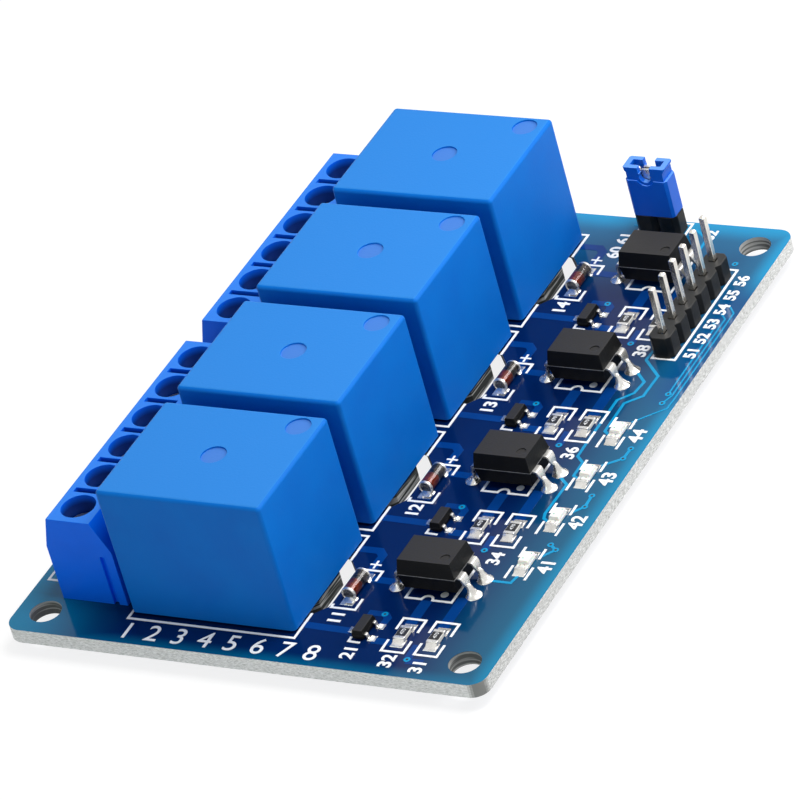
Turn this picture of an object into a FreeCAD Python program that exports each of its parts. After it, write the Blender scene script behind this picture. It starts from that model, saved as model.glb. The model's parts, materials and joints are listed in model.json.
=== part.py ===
# Relay module board: four relays, twelve screw terminals, driver parts, input header and jumper.
# Millimetres. The origin is under the middle of the board, where the trimmed pin ends rest.
# +X points to the input header, +Y to the jumper, +Z up.
import FreeCAD, Part
import math
import os

V = FreeCAD.Vector

# Circuit board
board_width = 55.0
board_length = 76.6
board_thickness = 1.6
board_corner_radius = 1.8
mounting_hole_diameter = 3.4
mounting_hole_inset = 3.3
pin_stub = 1.6                    # trimmed pin ends below the board
lead_hole_gap = 0.12              # drilled hole around a lead, beyond its corners
seat_gap = 0.05                   # fixed pieces that slide together at assembly
running_gap = 0.06                # pieces that move past each other
overcut = 1.0                     # a cutting tool runs on this far past the face it opens

# Isolation slot round each relay's common pin
slot_width = 1.6
slot_half_straight = 2.6
slot_leg_run = 2.4
slot_leg_rise = 2.9
slot_beyond_relay = 0.65          # slot's middle line, out from the relay's end face

# Relays
relay_count = 4
relay_pitch = 17.5
relay_x = -4.95
relay_length = 19.0
relay_width = 15.2
relay_height = 15.5
relay_standoff = 0.3
relay_wall = 0.7
relay_roof = 0.95
relay_edge_radius = 0.45
recess_diameter = 2.7
recess_depth = 0.2
recess_middle_x = 0.35
recess_corner_inset_x = 2.4
recess_corner_inset_y = 1.9
relay_base_thickness = 2.0
relay_foot_size = 1.4
contact_pin_span = 14.2           # common pin to the two contact pins
coil_pin_setback = 2.0
side_pin_spacing = 12.0
contact_pin_width = 1.0
contact_pin_thickness = 0.5
coil_pin_size = 0.6
coil_pin_top = 4.6
tower_height = 7.0
tower_wall_x = 0.7
tower_wall_y = 0.5

# Relay magnet
yoke_thickness = 1.0
yoke_width = 8.6
yoke_foot_margin = 0.9            # yoke's foot, past the core
yoke_pin_offset = 0.2             # common pin's middle, out from the yoke leg's inner face
core_offset_x = 1.0
core_diameter = 3.6
pole_diameter = 6.2
pole_thickness = 0.7
flange_size = 10.6
flange_thickness = 0.7
barrel_wall = 0.6
winding_diameter = 9.8
air_gap = 0.42                    # pole face to armature, relay released
closing_angle = 2.4               # degrees
armature_thickness = 1.0
armature_width = 7.6
armature_overhang = 3.6           # past the core's middle, towards the contacts
blade_thickness = 0.25
blade_width = 3.4
blade_lap = 4.0
contact_button_diameter = 2.2
contact_button_height = 0.4
contact_strip_thickness = 0.4
contact_strip_width = 1.9
contact_gap = 0.05
contact_headroom = 0.33           # upper contact strip to the cover's roof

# Terminal blocks
terminal_blocks = 2
poles_per_block = 6
pole_pitch = 5.08
block_gap = 3.6
terminal_middle_y = -0.4
terminal_back_x = -15.65
terminal_depth = 7.7
terminal_height = 10.2
shoulder_height = 6.7
top_front_setback = 0.95
top_back_setback = 1.65
well_back_distance = 4.25         # screw axis, in from the housing's back
well_diameter = 3.7
ledge_height = 6.4
ledge_thickness = 0.5
pole_slot_width = 0.7
pole_slot_depth = 2.6
pole_slot_length = 3.7
joint_line_width = 0.3
joint_line_depth = 0.15
dovetail_width = 0.6
dovetail_depth = 0.4
dovetail_height = 6.0
dovetail_back_distance = 1.3
entry_width = 3.0
entry_bottom = 0.8
entry_straight_height = 2.1
entry_recess_width = 4.0
entry_recess_height = 5.2
entry_recess_depth = 0.6

# Terminal screws, rising clamps and contact bars
screw_head_diameter = 3.4
screw_head_height = 1.2
screw_slot_width = 0.6
screw_slot_depth = 0.6
screw_diameter = 2.5
clamp_length = 3.6
clamp_width = 3.7
clamp_height = 4.0
clamp_wall = 0.55
clamp_rest_height = 0.4
clamp_travel = 1.9
bar_thickness = 0.6
bar_width = 2.3
bar_setback = 0.3                 # bar's free end, in from the clamp's front
bar_leg_gap = 0.4                 # bar's leg, behind the clamp's cavity
terminal_pin_width = 0.9

# Driver channel: places from the relay's middle line (Y) and the board's middle (X)
opto_x = 15.95
opto_y = 2.45
opto_length = 6.5
opto_width = 4.55
opto_draft = 0.27
opto_underside = 0.7
opto_top = 4.2
opto_dot_diameter = 1.0
opto_dot_depth = 0.12
opto_dot_inset_x = 0.95
opto_dot_inset_y = 1.05
opto_bend_spacing = 7.62
opto_row_spacing = 8.7             # leads spread from the bend to the board
opto_pin_pitch = 2.54
opto_lead_thickness = 0.25
opto_shoulder_width = 1.2
opto_shoulder_height = 1.5
opto_lead_width = 0.5
opto_cone_height = 0.9
opto_cone_base = 0.85
opto_cone_top = 0.42
diode_x = 7.65
diode_length = 3.5
diode_glass_diameter = 1.42
diode_cap_diameter = 1.56
diode_cap_length = 0.5
transistor_x = 11.55
chip_row_y = -5.98                # transistor and resistors, from the relay's middle line
transistor_body = (1.3, 2.9, 1.0)
transistor_lift = 0.1
transistor_lead_pitch = 0.95
transistor_lead_reach = 1.2
transistor_lead_width = 0.42
transistor_lead_thickness = 0.14
transistor_knee = 0.25            # lead's run out from the body, to its bend
transistor_edge = 0.15
resistor_columns_x = (15.95, 19.67)
resistor_length = 2.0
resistor_width = 1.25
resistor_height = 0.5
resistor_cap_length = 0.4
resistor_cap_rise = 0.05
lamp_x = 23.45
lamp_first_y = -19.5
lamp_pitch = 7.2
lamp_length = 2.6
lamp_width = 1.3
lamp_carrier_height = 0.35
lamp_dome_length = 1.7
lamp_dome_height = 0.45
lamp_dome_taper = 0.12

# Headers and jumper
header_pitch = 2.54
header_width = 2.5
header_body_height = 2.54
header_corner = 0.5
header_pin_size = 0.64
header_pin_above = 8.1
header_pin_point = 0.18
input_header_pins = 6
input_header_x = 22.65
input_header_y = 22.5
jumper_header_x = 12.75
jumper_header_y = 36.55
cap_length = 4.9
cap_width = 2.4
cap_height = 6.05
cap_seat_gap = 0.03
cap_wall = 0.45
cap_edge = 0.3
cap_hollow_height = 4.0
cap_step_height = 4.5             # waist and step start here, up from the cap's lower edge
cap_step_depth = 0.12
cap_waist_depth = 0.3
cap_waist_tall = 0.95
cap_lug_slope = 0.4
cap_notch_width = 1.4
cap_notch_depth = 0.75
cap_well_width = 0.95
cap_well_wall = 0.65
cap_window_diameter = 1.4
cap_window_rim = 2.1
cap_window_height = 4.95
clip_thickness = 0.25
clip_height = 3.2
clip_start = 0.5
clip_bridge_length = 1.2
clip_bridge_gap = 0.08            # bridge in the cap's slot, each side
clip_tab_drop = 0.6               # tabs' tops, below the lugs

# Heights and places that follow
board_bottom = pin_stub
board_top = pin_stub + board_thickness
lead_length = board_top           # from the board's top face down to the trimmed end
channel_rows = [(i - (relay_count - 1) / 2) * relay_pitch for i in range(relay_count)]
common_pin_x = contact_pin_span / 2
coil_pin_x = common_pin_x - coil_pin_setback
contact_pin_x = common_pin_x - contact_pin_span
side_pin_y = side_pin_spacing / 2
block_length = poles_per_block * pole_pitch
terminal_front_x = terminal_back_x - terminal_depth
well_x = terminal_back_x - well_back_distance


def box(x0, x1, y0, y1, z0, z1):
    return Part.makeBox(x1 - x0, y1 - y0, z1 - z0, V(x0, y0, z0))


def centred_box(x, y, length_x, length_y, z0, z1):
    return box(x - length_x / 2, x + length_x / 2, y - length_y / 2, y + length_y / 2, z0, z1)


def rod(x, y, diameter, z0, z1):
    return Part.makeCylinder(diameter / 2, z1 - z0, V(x, y, z0))


def prism_y(outline, y0, y1):
    """Outline of (x, z) points, drawn out along Y."""
    points = [V(x, y0, z) for x, z in outline]
    face = Part.Face(Part.makePolygon(points + points[:1]))
    return face.extrude(V(0, y1 - y0, 0))


def prism_z(outline, z0, z1):
    """Outline of (x, y) points, drawn out along Z."""
    points = [V(x, y, z0) for x, y in outline]
    face = Part.Face(Part.makePolygon(points + points[:1]))
    return face.extrude(V(0, 0, z1 - z0))


def rectangle(x, y, length_x, length_y, z):
    """Closed wire of a rectangle, lying flat at height z."""
    a, b = length_x / 2, length_y / 2
    points = [V(x - a, y - b, z), V(x + a, y - b, z), V(x + a, y + b, z), V(x - a, y + b, z)]
    return Part.makePolygon(points + points[:1])


def fuse(shapes):
    return shapes[0].fuse(shapes[1:]).removeSplitter() if len(shapes) > 1 else shapes[0]


def cut(shape, tools):
    return shape.cut(Part.makeCompound(tools))


def moved(shape, x=0.0, y=0.0, z=0.0):
    copy = shape.copy()
    copy.translate(V(x, y, z))
    return copy


def is_vertical(edge):
    a, b = edge.Vertexes[0].Point, edge.Vertexes[-1].Point
    return abs(a.x - b.x) < 1e-6 and abs(a.y - b.y) < 1e-6


def lies_at(edge, height):
    return all(abs(v.Point.z - height) < 1e-6 for v in edge.Vertexes)


def drill(diagonal):
    """Drilled hole for a lead of this corner-to-corner size."""
    return diagonal + 2 * lead_hole_gap


def export(name, *shapes):
    for shape in shapes:
        if not shape.isValid():
            raise ValueError(name + " is not a valid solid")
    whole = shapes[0] if len(shapes) == 1 else Part.makeCompound(list(shapes))
    whole.exportStep("parts/" + name + ".step")


# Circuit board

def slot_tool(row):
    """Isolation slot: a straight run outside the relay's end, with a leg at each end leading under it."""
    x = relay_x + relay_length / 2 + slot_beyond_relay
    leg_x = x - slot_leg_run
    leg_y = slot_half_straight + slot_leg_rise
    line = [(leg_x, -leg_y), (x, -slot_half_straight), (x, slot_half_straight), (leg_x, leg_y)]
    z0, z1 = board_bottom - overcut, board_top + overcut
    pieces = [rod(px, row + py, slot_width, z0, z1) for px, py in line]
    for (ax, ay), (bx, by) in zip(line, line[1:]):
        run = math.hypot(bx - ax, by - ay)
        strip = box(0, run, -slot_width / 2, slot_width / 2, z0, z1)
        strip.rotate(V(0, 0, 0), V(0, 0, 1), math.degrees(math.atan2(by - ay, bx - ax)))
        pieces.append(moved(strip, ax, row + ay))
    return fuse(pieces)


def relay_pins(row):
    """Places and corner-to-corner sizes of one relay's five pins."""
    blade = math.hypot(contact_pin_width, contact_pin_thickness)
    coil = coil_pin_size * math.sqrt(2)
    pins = [(common_pin_x, 0, blade)]
    for side in (-1, 1):
        pins.append((contact_pin_x, side * side_pin_y, blade))
        pins.append((coil_pin_x, side * side_pin_y, coil))
    return [(relay_x + x, row + y, size) for x, y, size in pins]


def opto_pins(row):
    size = math.hypot(opto_lead_width, opto_lead_thickness)
    return [(opto_x + sx * opto_row_spacing / 2, row + opto_y + sy * opto_pin_pitch / 2, size)
            for sx in (-1, 1) for sy in (-1, 1)]


def block_start(block):
    """Near end of a terminal block, along Y."""
    step = block_length + block_gap
    return terminal_middle_y + (block - terminal_blocks / 2) * step + block_gap / 2


def pole_rows():
    return [block_start(block) + (pole + 0.5) * pole_pitch
            for block in range(terminal_blocks) for pole in range(poles_per_block)]


def terminal_pin_x():
    return well_x + clamp_length / 2 + running_gap + bar_leg_gap + bar_thickness / 2


def input_pin_places():
    return [(input_header_x, input_header_y + (i - (input_header_pins - 1) / 2) * header_pitch)
            for i in range(input_header_pins)]


def jumper_pin_places():
    return [(jumper_header_x + side * header_pitch / 2, jumper_header_y) for side in (-1, 1)]


def board():
    outline = centred_box(0, 0, board_width, board_length, board_bottom, board_top)
    outline = outline.makeFillet(board_corner_radius, [e for e in outline.Edges if is_vertical(e)])
    z0, z1 = board_bottom - overcut, board_top + overcut
    holes = []
    for sx in (-1, 1):
        for sy in (-1, 1):
            x = sx * (board_width / 2 - mounting_hole_inset)
            y = sy * (board_length / 2 - mounting_hole_inset)
            holes.append(rod(x, y, mounting_hole_diameter, z0, z1))
    for row in channel_rows:
        holes.append(slot_tool(row))
        for x, y, size in relay_pins(row) + opto_pins(row):
            holes.append(rod(x, y, drill(size), z0, z1))
    for y in pole_rows():
        holes.append(rod(terminal_pin_x(), y, drill(math.hypot(terminal_pin_width, bar_thickness)), z0, z1))
    for x, y in input_pin_places() + jumper_pin_places():
        holes.append(rod(x, y, drill(header_pin_size * math.sqrt(2)), z0, z1))
    return cut(outline, holes)


# Relay: drawn about its own middle, with z = 0 on the board, then placed in each channel

inner_x = relay_length / 2 - relay_wall
inner_y = relay_width / 2 - relay_wall
base_top = relay_standoff + relay_base_thickness
foot_top = base_top + yoke_thickness
winding_bottom = foot_top + flange_thickness
roof_bottom = relay_height - relay_roof
closed_strip_bottom = roof_bottom - contact_headroom - contact_strip_thickness
closed_contact_bottom = closed_strip_bottom - contact_button_height
button_top = closed_contact_bottom - contact_gap
blade_bottom = button_top - contact_button_height - blade_thickness
button_bottom = blade_bottom - contact_button_height
armature_bottom = blade_bottom - armature_thickness
pole_top = armature_bottom - air_gap
pole_bottom = pole_top - pole_thickness
winding_top = pole_bottom - flange_thickness
yoke_inner_x = common_pin_x - yoke_pin_offset
yoke_outer_x = yoke_inner_x + yoke_thickness
button_reach = yoke_inner_x - contact_pin_x + contact_button_diameter / 2
button_drop = button_reach * math.sin(math.radians(closing_angle))
open_contact_top = button_bottom - button_drop - contact_gap


def relay_cover():
    outer = centred_box(0, 0, relay_length, relay_width, relay_standoff, relay_height)
    soft = [e for e in outer.Edges if is_vertical(e) or lies_at(e, relay_height)]
    outer = outer.makeFillet(relay_edge_radius, soft)
    hollow = box(-inner_x, inner_x, -inner_y, inner_y, relay_standoff - overcut, roof_bottom)
    corner = (relay_length / 2 - recess_corner_inset_x, relay_width / 2 - recess_corner_inset_y)
    recesses = [rod(x, y, recess_diameter, relay_height - recess_depth, relay_height + overcut)
                for x, y in ((recess_middle_x, 0), corner)]
    return cut(outer, [hollow] + recesses)


def pin_passages():
    """Clearance for the five pins through the relay's base."""
    wide = contact_pin_width + 2 * seat_gap
    thin = contact_pin_thickness + 2 * seat_gap
    small = coil_pin_size + 2 * seat_gap
    reach = base_top + tower_height + overcut
    z0, z1 = -overcut, base_top + overcut
    tools = [centred_box(common_pin_x, 0, thin, wide, z0, z1)]
    for side in (-1, 1):
        tools.append(centred_box(contact_pin_x, side * side_pin_y, thin, wide, z0, reach))
        tools.append(centred_box(coil_pin_x, side * side_pin_y, small, small, z0, z1))
    return tools


def relay_base():
    """Base plate with four feet, and a tower round each fixed contact."""
    fit_x, fit_y = inner_x - seat_gap, inner_y - seat_gap
    solids = [box(-fit_x, fit_x, -fit_y, fit_y, relay_standoff, base_top)]
    for sx in (-1, 1):
        for sy in (-1, 1):
            x = sx * (fit_x - relay_foot_size / 2)
            y = sy * (fit_y - relay_foot_size / 2)
            solids.append(centred_box(x, y, relay_foot_size, relay_foot_size, 0, relay_standoff))
    half = contact_pin_thickness / 2 + tower_wall_x
    x0, x1 = contact_pin_x - half, contact_pin_x + half
    for side in (-1, 1):
        inner_edge = side_pin_y - contact_pin_width / 2 - tower_wall_y
        near, far = sorted((side * fit_y, side * inner_edge))
        solids.append(box(x0, x1, near, far, base_top, base_top + tower_height))
    return cut(fuse(solids), pin_passages())


def relay_yoke():
    """L-shaped iron: foot under the coil, leg up to the armature's edge, common pin below."""
    foot_start = core_offset_x - core_diameter / 2 - yoke_foot_margin
    half = yoke_width / 2
    foot = box(foot_start, yoke_outer_x, -half, half, base_top, foot_top)
    leg = box(yoke_inner_x, yoke_outer_x, -half, half, base_top, armature_bottom - contact_gap)
    pin = centred_box(common_pin_x, 0, contact_pin_thickness, contact_pin_width, -lead_length, base_top)
    bore = rod(core_offset_x, 0, core_diameter + 2 * seat_gap, base_top - overcut, foot_top + overcut)
    return cut(fuse([foot, leg, pin]), [bore])


def relay_core():
    stem = rod(core_offset_x, 0, core_diameter, base_top, pole_bottom)
    return fuse([stem, rod(core_offset_x, 0, pole_diameter, pole_bottom, pole_top)])


def relay_bobbin():
    half = core_diameter / 2 + seat_gap + barrel_wall
    lower = centred_box(core_offset_x, 0, flange_size, flange_size, foot_top, winding_bottom)
    upper = centred_box(core_offset_x, 0, flange_size, flange_size, winding_top, pole_bottom)
    barrel = rod(core_offset_x, 0, 2 * half, foot_top, pole_bottom)
    bore = rod(core_offset_x, 0, core_diameter + 2 * seat_gap, foot_top - overcut, pole_bottom + overcut)
    return cut(fuse([lower, upper, barrel]), [bore])


def relay_coil():
    half = core_diameter / 2 + seat_gap + barrel_wall
    outside = rod(core_offset_x, 0, winding_diameter, winding_bottom, winding_top)
    bore = rod(core_offset_x, 0, 2 * half, winding_bottom - overcut, winding_top + overcut)
    return cut(outside, [bore])


def coil_pin(side):
    y = side * side_pin_y
    return centred_box(coil_pin_x, y, coil_pin_size, coil_pin_size, -lead_length, coil_pin_top)


def fixed_contact(side, strip_bottom, button_from):
    """Pin, strip bent in over the middle, and contact button."""
    strip_top = strip_bottom + contact_strip_thickness
    end = side * (side_pin_y + contact_pin_width / 2)
    past = -side * contact_button_diameter / 2
    strip = box(contact_pin_x - contact_strip_width / 2, contact_pin_x + contact_strip_width / 2,
                min(end, past), max(end, past), strip_bottom, strip_top)
    pin = centred_box(contact_pin_x, side * side_pin_y, contact_pin_thickness, contact_pin_width,
                      -lead_length, strip_top)
    button = rod(contact_pin_x, 0, contact_button_diameter, *button_from)
    return fuse([strip, pin, button])


def fixed_contacts():
    upper = fixed_contact(-1, closed_strip_bottom, (closed_contact_bottom, closed_strip_bottom))
    lower_strip = open_contact_top - contact_button_height - contact_strip_thickness
    lower = fixed_contact(1, lower_strip, (open_contact_top - contact_button_height, open_contact_top))
    return upper, lower


def relay_armature():
    """Iron plate that tilts on the yoke's edge, with spring blade and double contact button."""
    end = core_offset_x - armature_overhang
    plate = box(end, yoke_outer_x, -armature_width / 2, armature_width / 2, armature_bottom, blade_bottom)
    tip = contact_pin_x - contact_button_diameter / 2
    blade_top = blade_bottom + blade_thickness
    blade = box(tip, end + blade_lap, -blade_width / 2, blade_width / 2, blade_bottom, blade_top)
    button = rod(contact_pin_x, 0, contact_button_diameter, button_bottom, button_top)
    return fuse([plate, blade, button])


def relays():
    upper, lower = fixed_contacts()
    groups = {
        "relay_bobbins": [relay_bobbin()],
        "relay_coils": [relay_coil()],
        "relay_cores": [relay_core()],
        "relay_yokes": [relay_yoke()],
        "relay_fixed_contacts": [upper, lower],
        "relay_coil_pins": [coil_pin(-1), coil_pin(1)],
    }
    singles = {"relay_cover": relay_cover(), "relay_base": relay_base(), "relay_armature": relay_armature()}
    for name, shape in singles.items():
        for number, row in enumerate(channel_rows, 1):
            export(f"{name}_{number}", moved(shape, relay_x, row, board_top))
    for name, shapes in groups.items():
        export(name, *[moved(s, relay_x, row, board_top) for row in channel_rows for s in shapes])


# Terminals: heights above the board, poles placed along Y

cavity_half_width = clamp_width / 2 + running_gap
cavity_front_x = well_x - clamp_length / 2 - running_gap
cavity_back_x = well_x + clamp_length / 2 + running_gap
leg_back_x = terminal_pin_x() + bar_thickness / 2
bar_top = clamp_rest_height + clamp_wall + clamp_travel + running_gap + bar_thickness
ledge_top = ledge_height + ledge_thickness
head_bottom = ledge_top + running_gap


def terminal_profile():
    return [(terminal_front_x, 0), (terminal_front_x, shoulder_height),
            (terminal_front_x + top_front_setback, terminal_height),
            (terminal_back_x - top_back_setback, terminal_height),
            (terminal_back_x, shoulder_height), (terminal_back_x, 0)]


def wire_entry(y):
    """Arched opening in the front wall, with a shallow square recess round it."""
    arch_z = entry_bottom + entry_straight_height
    x0, x1 = terminal_front_x - overcut, cavity_front_x + running_gap
    half, recess_half = entry_width / 2, entry_recess_width / 2
    straight = box(x0, x1, y - half, y + half, entry_bottom, arch_z)
    arch = Part.makeCylinder(half, x1 - x0, V(x0, y, arch_z), V(1, 0, 0))
    recess = box(x0, terminal_front_x + entry_recess_depth, y - recess_half, y + recess_half,
                 entry_bottom, entry_recess_height)
    return [straight, arch, recess]


def pole_tools(y):
    """Everything cut for one pole: screw well, neck, clamp cavity, bar's leg slot and wire entry."""
    well = rod(well_x, y, well_diameter, ledge_top, terminal_height + overcut)
    neck = rod(well_x, y, screw_diameter + 2 * running_gap, ledge_height - overcut, ledge_top + overcut)
    half, leg_half = cavity_half_width, bar_width / 2 + seat_gap
    cavity = box(cavity_front_x, cavity_back_x, y - half, y + half, -overcut, ledge_height)
    leg = box(cavity_back_x - overcut, leg_back_x + seat_gap, y - leg_half, y + leg_half,
              -overcut, bar_top + seat_gap)
    return [well, neck, cavity, leg] + wire_entry(y)


def terminal_block(block):
    start = block_start(block)
    housing = prism_y(terminal_profile(), start, start + block_length)
    tools = []
    for pole in range(poles_per_block):
        tools += pole_tools(start + (pole + 0.5) * pole_pitch)
    for joint in range(1, poles_per_block):
        y = start + joint * pole_pitch
        top_slot = centred_box(well_x, y, pole_slot_length, pole_slot_width,
                               terminal_height - pole_slot_depth, terminal_height + overcut)
        line = box(terminal_front_x - overcut, terminal_front_x + joint_line_depth,
                   y - joint_line_width / 2, y + joint_line_width / 2, -overcut, shoulder_height)
        tools += [top_slot, line]
    groove_x = terminal_back_x - dovetail_back_distance
    tools.append(box(groove_x - dovetail_width / 2, groove_x + dovetail_width / 2,
                     start - overcut, start + dovetail_depth, -overcut, dovetail_height))
    housing = cut(housing, tools)
    end = start + block_length
    tongue_half = dovetail_width / 2 - seat_gap
    tongue = box(groove_x - tongue_half, groove_x + tongue_half, end, end + dovetail_depth - seat_gap,
                 0, dovetail_height - seat_gap)
    return fuse([housing, tongue])


def terminal_screw(y):
    """Slotted cheese-head screw, standing on the ledge in its well."""
    tip = bar_top + running_gap
    head = rod(well_x, y, screw_head_diameter, head_bottom, head_bottom + screw_head_height)
    shank = rod(well_x, y, screw_diameter, tip, head_bottom)
    top = head_bottom + screw_head_height
    slot = centred_box(well_x, y, screw_head_diameter + overcut, screw_slot_width,
                       top - screw_slot_depth, top + overcut)
    return cut(fuse([head, shank]), [slot])


def terminal_clamp(y):
    """Square cage round the contact bar, threaded on the screw."""
    z0, z1 = clamp_rest_height, clamp_rest_height + clamp_height
    cage = centred_box(well_x, y, clamp_length, clamp_width, z0, z1)
    hollow = centred_box(well_x, y, clamp_length + overcut, clamp_width - 2 * clamp_wall,
                         z0 + clamp_wall, z1 - clamp_wall)
    thread = rod(well_x, y, screw_diameter + 2 * running_gap, z1 - clamp_wall - overcut, z1 + overcut)
    return cut(cage, [hollow, thread])


def terminal_pin(y):
    """Contact bar inside the clamp, its leg down the back, and the pin through the board."""
    leg_x0, leg_x1 = leg_back_x - bar_thickness, leg_back_x
    bar = box(well_x - clamp_length / 2 + bar_setback, leg_x1, y - bar_width / 2, y + bar_width / 2,
              bar_top - bar_thickness, bar_top)
    leg = box(leg_x0, leg_x1, y - bar_width / 2, y + bar_width / 2, 0, bar_top)
    pin = box(leg_x0, leg_x1, y - terminal_pin_width / 2, y + terminal_pin_width / 2, -lead_length, 0)
    return fuse([bar, leg, pin])


def terminals():
    for block in range(terminal_blocks):
        export(f"terminal_block_{block + 1}", moved(terminal_block(block), z=board_top))
    pins = []
    for number, y in enumerate(pole_rows(), 1):
        export(f"terminal_screw_{number:02d}", moved(terminal_screw(y), z=board_top))
        export(f"terminal_clamp_{number:02d}", moved(terminal_clamp(y), z=board_top))
        pins.append(moved(terminal_pin(y), z=board_top))
    export("terminal_pins", *pins)


# Driver channel parts

def opto_body():
    """Moulded body, drafted both ways from its parting line, with a pin-one dot."""
    middle = (opto_underside + opto_top) / 2
    small = (opto_length - 2 * opto_draft, opto_width - 2 * opto_draft)
    wires = [rectangle(0, 0, *small, opto_underside), rectangle(0, 0, opto_length, opto_width, middle),
             rectangle(0, 0, *small, opto_top)]
    body = fuse([Part.makeLoft(pair, True, True) for pair in (wires[:2], wires[1:])])
    dot_x = small[0] / 2 - opto_dot_inset_x
    dot_y = -small[1] / 2 + opto_dot_inset_y
    return cut(body, [rod(dot_x, dot_y, opto_dot_diameter, opto_top - opto_dot_depth, opto_top + overcut)])


def opto_lead(sx, sy):
    """Formed lead: out from the body at its parting line, down a wide shoulder, then narrow and spread to
    the board."""
    t = opto_lead_thickness
    middle = (opto_underside + opto_top) / 2
    bend, row = opto_bend_spacing / 2, opto_row_spacing / 2
    shoulder_z = middle - opto_shoulder_height
    shoulder_x = bend + (row - bend) * opto_shoulder_height / middle
    upper, lower = middle + t / 2, middle - t / 2
    shoulder = [(opto_length / 2, upper), (bend - t / 2, upper), (bend + t / 2, lower),
                (shoulder_x + t / 2, shoulder_z), (shoulder_x - t / 2, shoulder_z), (bend - t / 2, lower),
                (opto_length / 2, lower)]
    pin = [(shoulder_x - t / 2, shoulder_z), (shoulder_x + t / 2, shoulder_z), (row + t / 2, 0),
           (row + t / 2, -lead_length), (row - t / 2, -lead_length), (row - t / 2, 0)]
    y = sy * opto_pin_pitch / 2
    lead = fuse([prism_y(outline, y - width / 2, y + width / 2)
                 for outline, width in ((shoulder, opto_shoulder_width), (pin, opto_lead_width))])
    return lead if sx > 0 else lead.mirror(V(0, 0, 0), V(1, 0, 0))


def opto_solder(sx, sy):
    x, y = sx * opto_row_spacing / 2, sy * opto_pin_pitch / 2
    cone = Part.makeCone(opto_cone_base, opto_cone_top, opto_cone_height, V(x, y, 0))
    return cut(cone, [opto_lead(sx, sy)])


def diode():
    """Glass diode lying along Y, with a metal cap on each end."""
    half = diode_length / 2
    cap_r, glass_r = diode_cap_diameter / 2, diode_glass_diameter / 2
    glass_end = half - diode_cap_length
    points = [(-half, 0), (-half, cap_r), (-glass_end, cap_r), (-glass_end, glass_r), (glass_end, glass_r),
              (glass_end, cap_r), (half, cap_r), (half, 0)]
    corners = [V(r, y, cap_r) for y, r in points]
    face = Part.Face(Part.makePolygon(corners + corners[:1]))
    return face.revolve(V(0, 0, cap_r), V(0, 1, 0), 360)


def transistor():
    """Three-lead surface-mount transistor: one lead on the relay side, two towards the resistors."""
    length_x, length_y, height = transistor_body
    z0, z1 = transistor_lift, transistor_lift + height
    body = centred_box(0, 0, length_x, length_y, z0, z1)
    body = body.makeChamfer(transistor_edge, [e for e in body.Edges if lies_at(e, z1)])
    t = transistor_lead_thickness
    middle = (z0 + z1) / 2
    foot_x = length_x / 2 + transistor_knee
    outline = [(length_x / 2, middle), (foot_x + t, middle), (foot_x + t, t), (transistor_lead_reach + t, t),
               (transistor_lead_reach + t, 0), (foot_x, 0), (foot_x, middle - t), (length_x / 2, middle - t)]
    half = transistor_lead_width / 2
    leads = [prism_y(outline, y - half, y + half) for y in (-transistor_lead_pitch, transistor_lead_pitch)]
    leads.append(prism_y([(-x, z) for x, z in outline], -half, half))
    return fuse([body] + leads)


def resistor():
    half = resistor_length / 2
    body = centred_box(0, 0, resistor_width - 2 * resistor_cap_rise, resistor_length - 2 * resistor_cap_rise,
                       0, resistor_height)
    caps = []
    for side in (-1, 1):
        y = side * (half - resistor_cap_length / 2)
        caps.append(centred_box(0, y, resistor_width, resistor_cap_length, 0,
                                resistor_height + resistor_cap_rise))
    return fuse([body] + caps)


def lamp():
    """Chip lamp: carrier with a moulded block over its far two thirds."""
    carrier = centred_box(0, 0, lamp_width, lamp_length, 0, lamp_carrier_height)
    y = (lamp_length - lamp_dome_length) / 2
    wires = [rectangle(0, y, lamp_width, lamp_dome_length, lamp_carrier_height),
             rectangle(0, y, lamp_width - 2 * lamp_dome_taper, lamp_dome_length - 2 * lamp_dome_taper,
                       lamp_carrier_height + lamp_dome_height)]
    return fuse([carrier, Part.makeLoft(wires, True, True)])


def driver_parts():
    sides = [(sx, sy) for sx in (-1, 1) for sy in (-1, 1)]
    at_opto = [(opto_x, row + opto_y) for row in channel_rows]
    body, leads = opto_body(), [opto_lead(*side) for side in sides]
    solder = [opto_solder(*side) for side in sides]
    export("optocoupler_bodies", *[moved(body, x, y, board_top) for x, y in at_opto])
    export("optocoupler_leads", *[moved(s, x, y, board_top) for x, y in at_opto for s in leads])
    export("solder_joints", *[moved(s, x, y, board_top) for x, y in at_opto for s in solder])
    export("diodes", *[moved(diode(), diode_x, row, board_top) for row in channel_rows])
    export("transistors", *[moved(transistor(), transistor_x, row + chip_row_y, board_top)
                            for row in channel_rows])
    export("resistors", *[moved(resistor(), x, row + chip_row_y, board_top)
                          for row in channel_rows for x in resistor_columns_x])
    export("indicator_lamps", *[moved(lamp(), lamp_x, lamp_first_y + i * lamp_pitch, board_top)
                                for i in range(relay_count)])


# Headers and jumper

def header_segment(x, y):
    """One pole of a header body: a square with cut corners."""
    a, c = header_pitch / 2, header_corner
    b = header_width / 2
    return prism_z([(x - b, y - a + c), (x - b + c, y - a), (x + b - c, y - a), (x + b, y - a + c),
                    (x + b, y + a - c), (x + b - c, y + a), (x - b + c, y + a), (x - b, y + a - c)],
                   0, header_body_height)


def header_pin(x, y):
    pin = centred_box(x, y, header_pin_size, header_pin_size, -lead_length, header_pin_above)
    return pin.makeChamfer(header_pin_point, [e for e in pin.Edges if lies_at(e, header_pin_above)])


def header_body(places, along_x):
    segments = []
    for x, y in places:
        segment = header_segment(0, 0)
        if along_x:
            segment.rotate(V(0, 0, 0), V(0, 0, 1), 90)
        segments.append(moved(segment, x, y))
    bore = header_pin_size + 2 * seat_gap
    z1 = header_body_height + overcut
    return cut(fuse(segments), [centred_box(x, y, bore, bore, -overcut, z1) for x, y in places])


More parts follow.
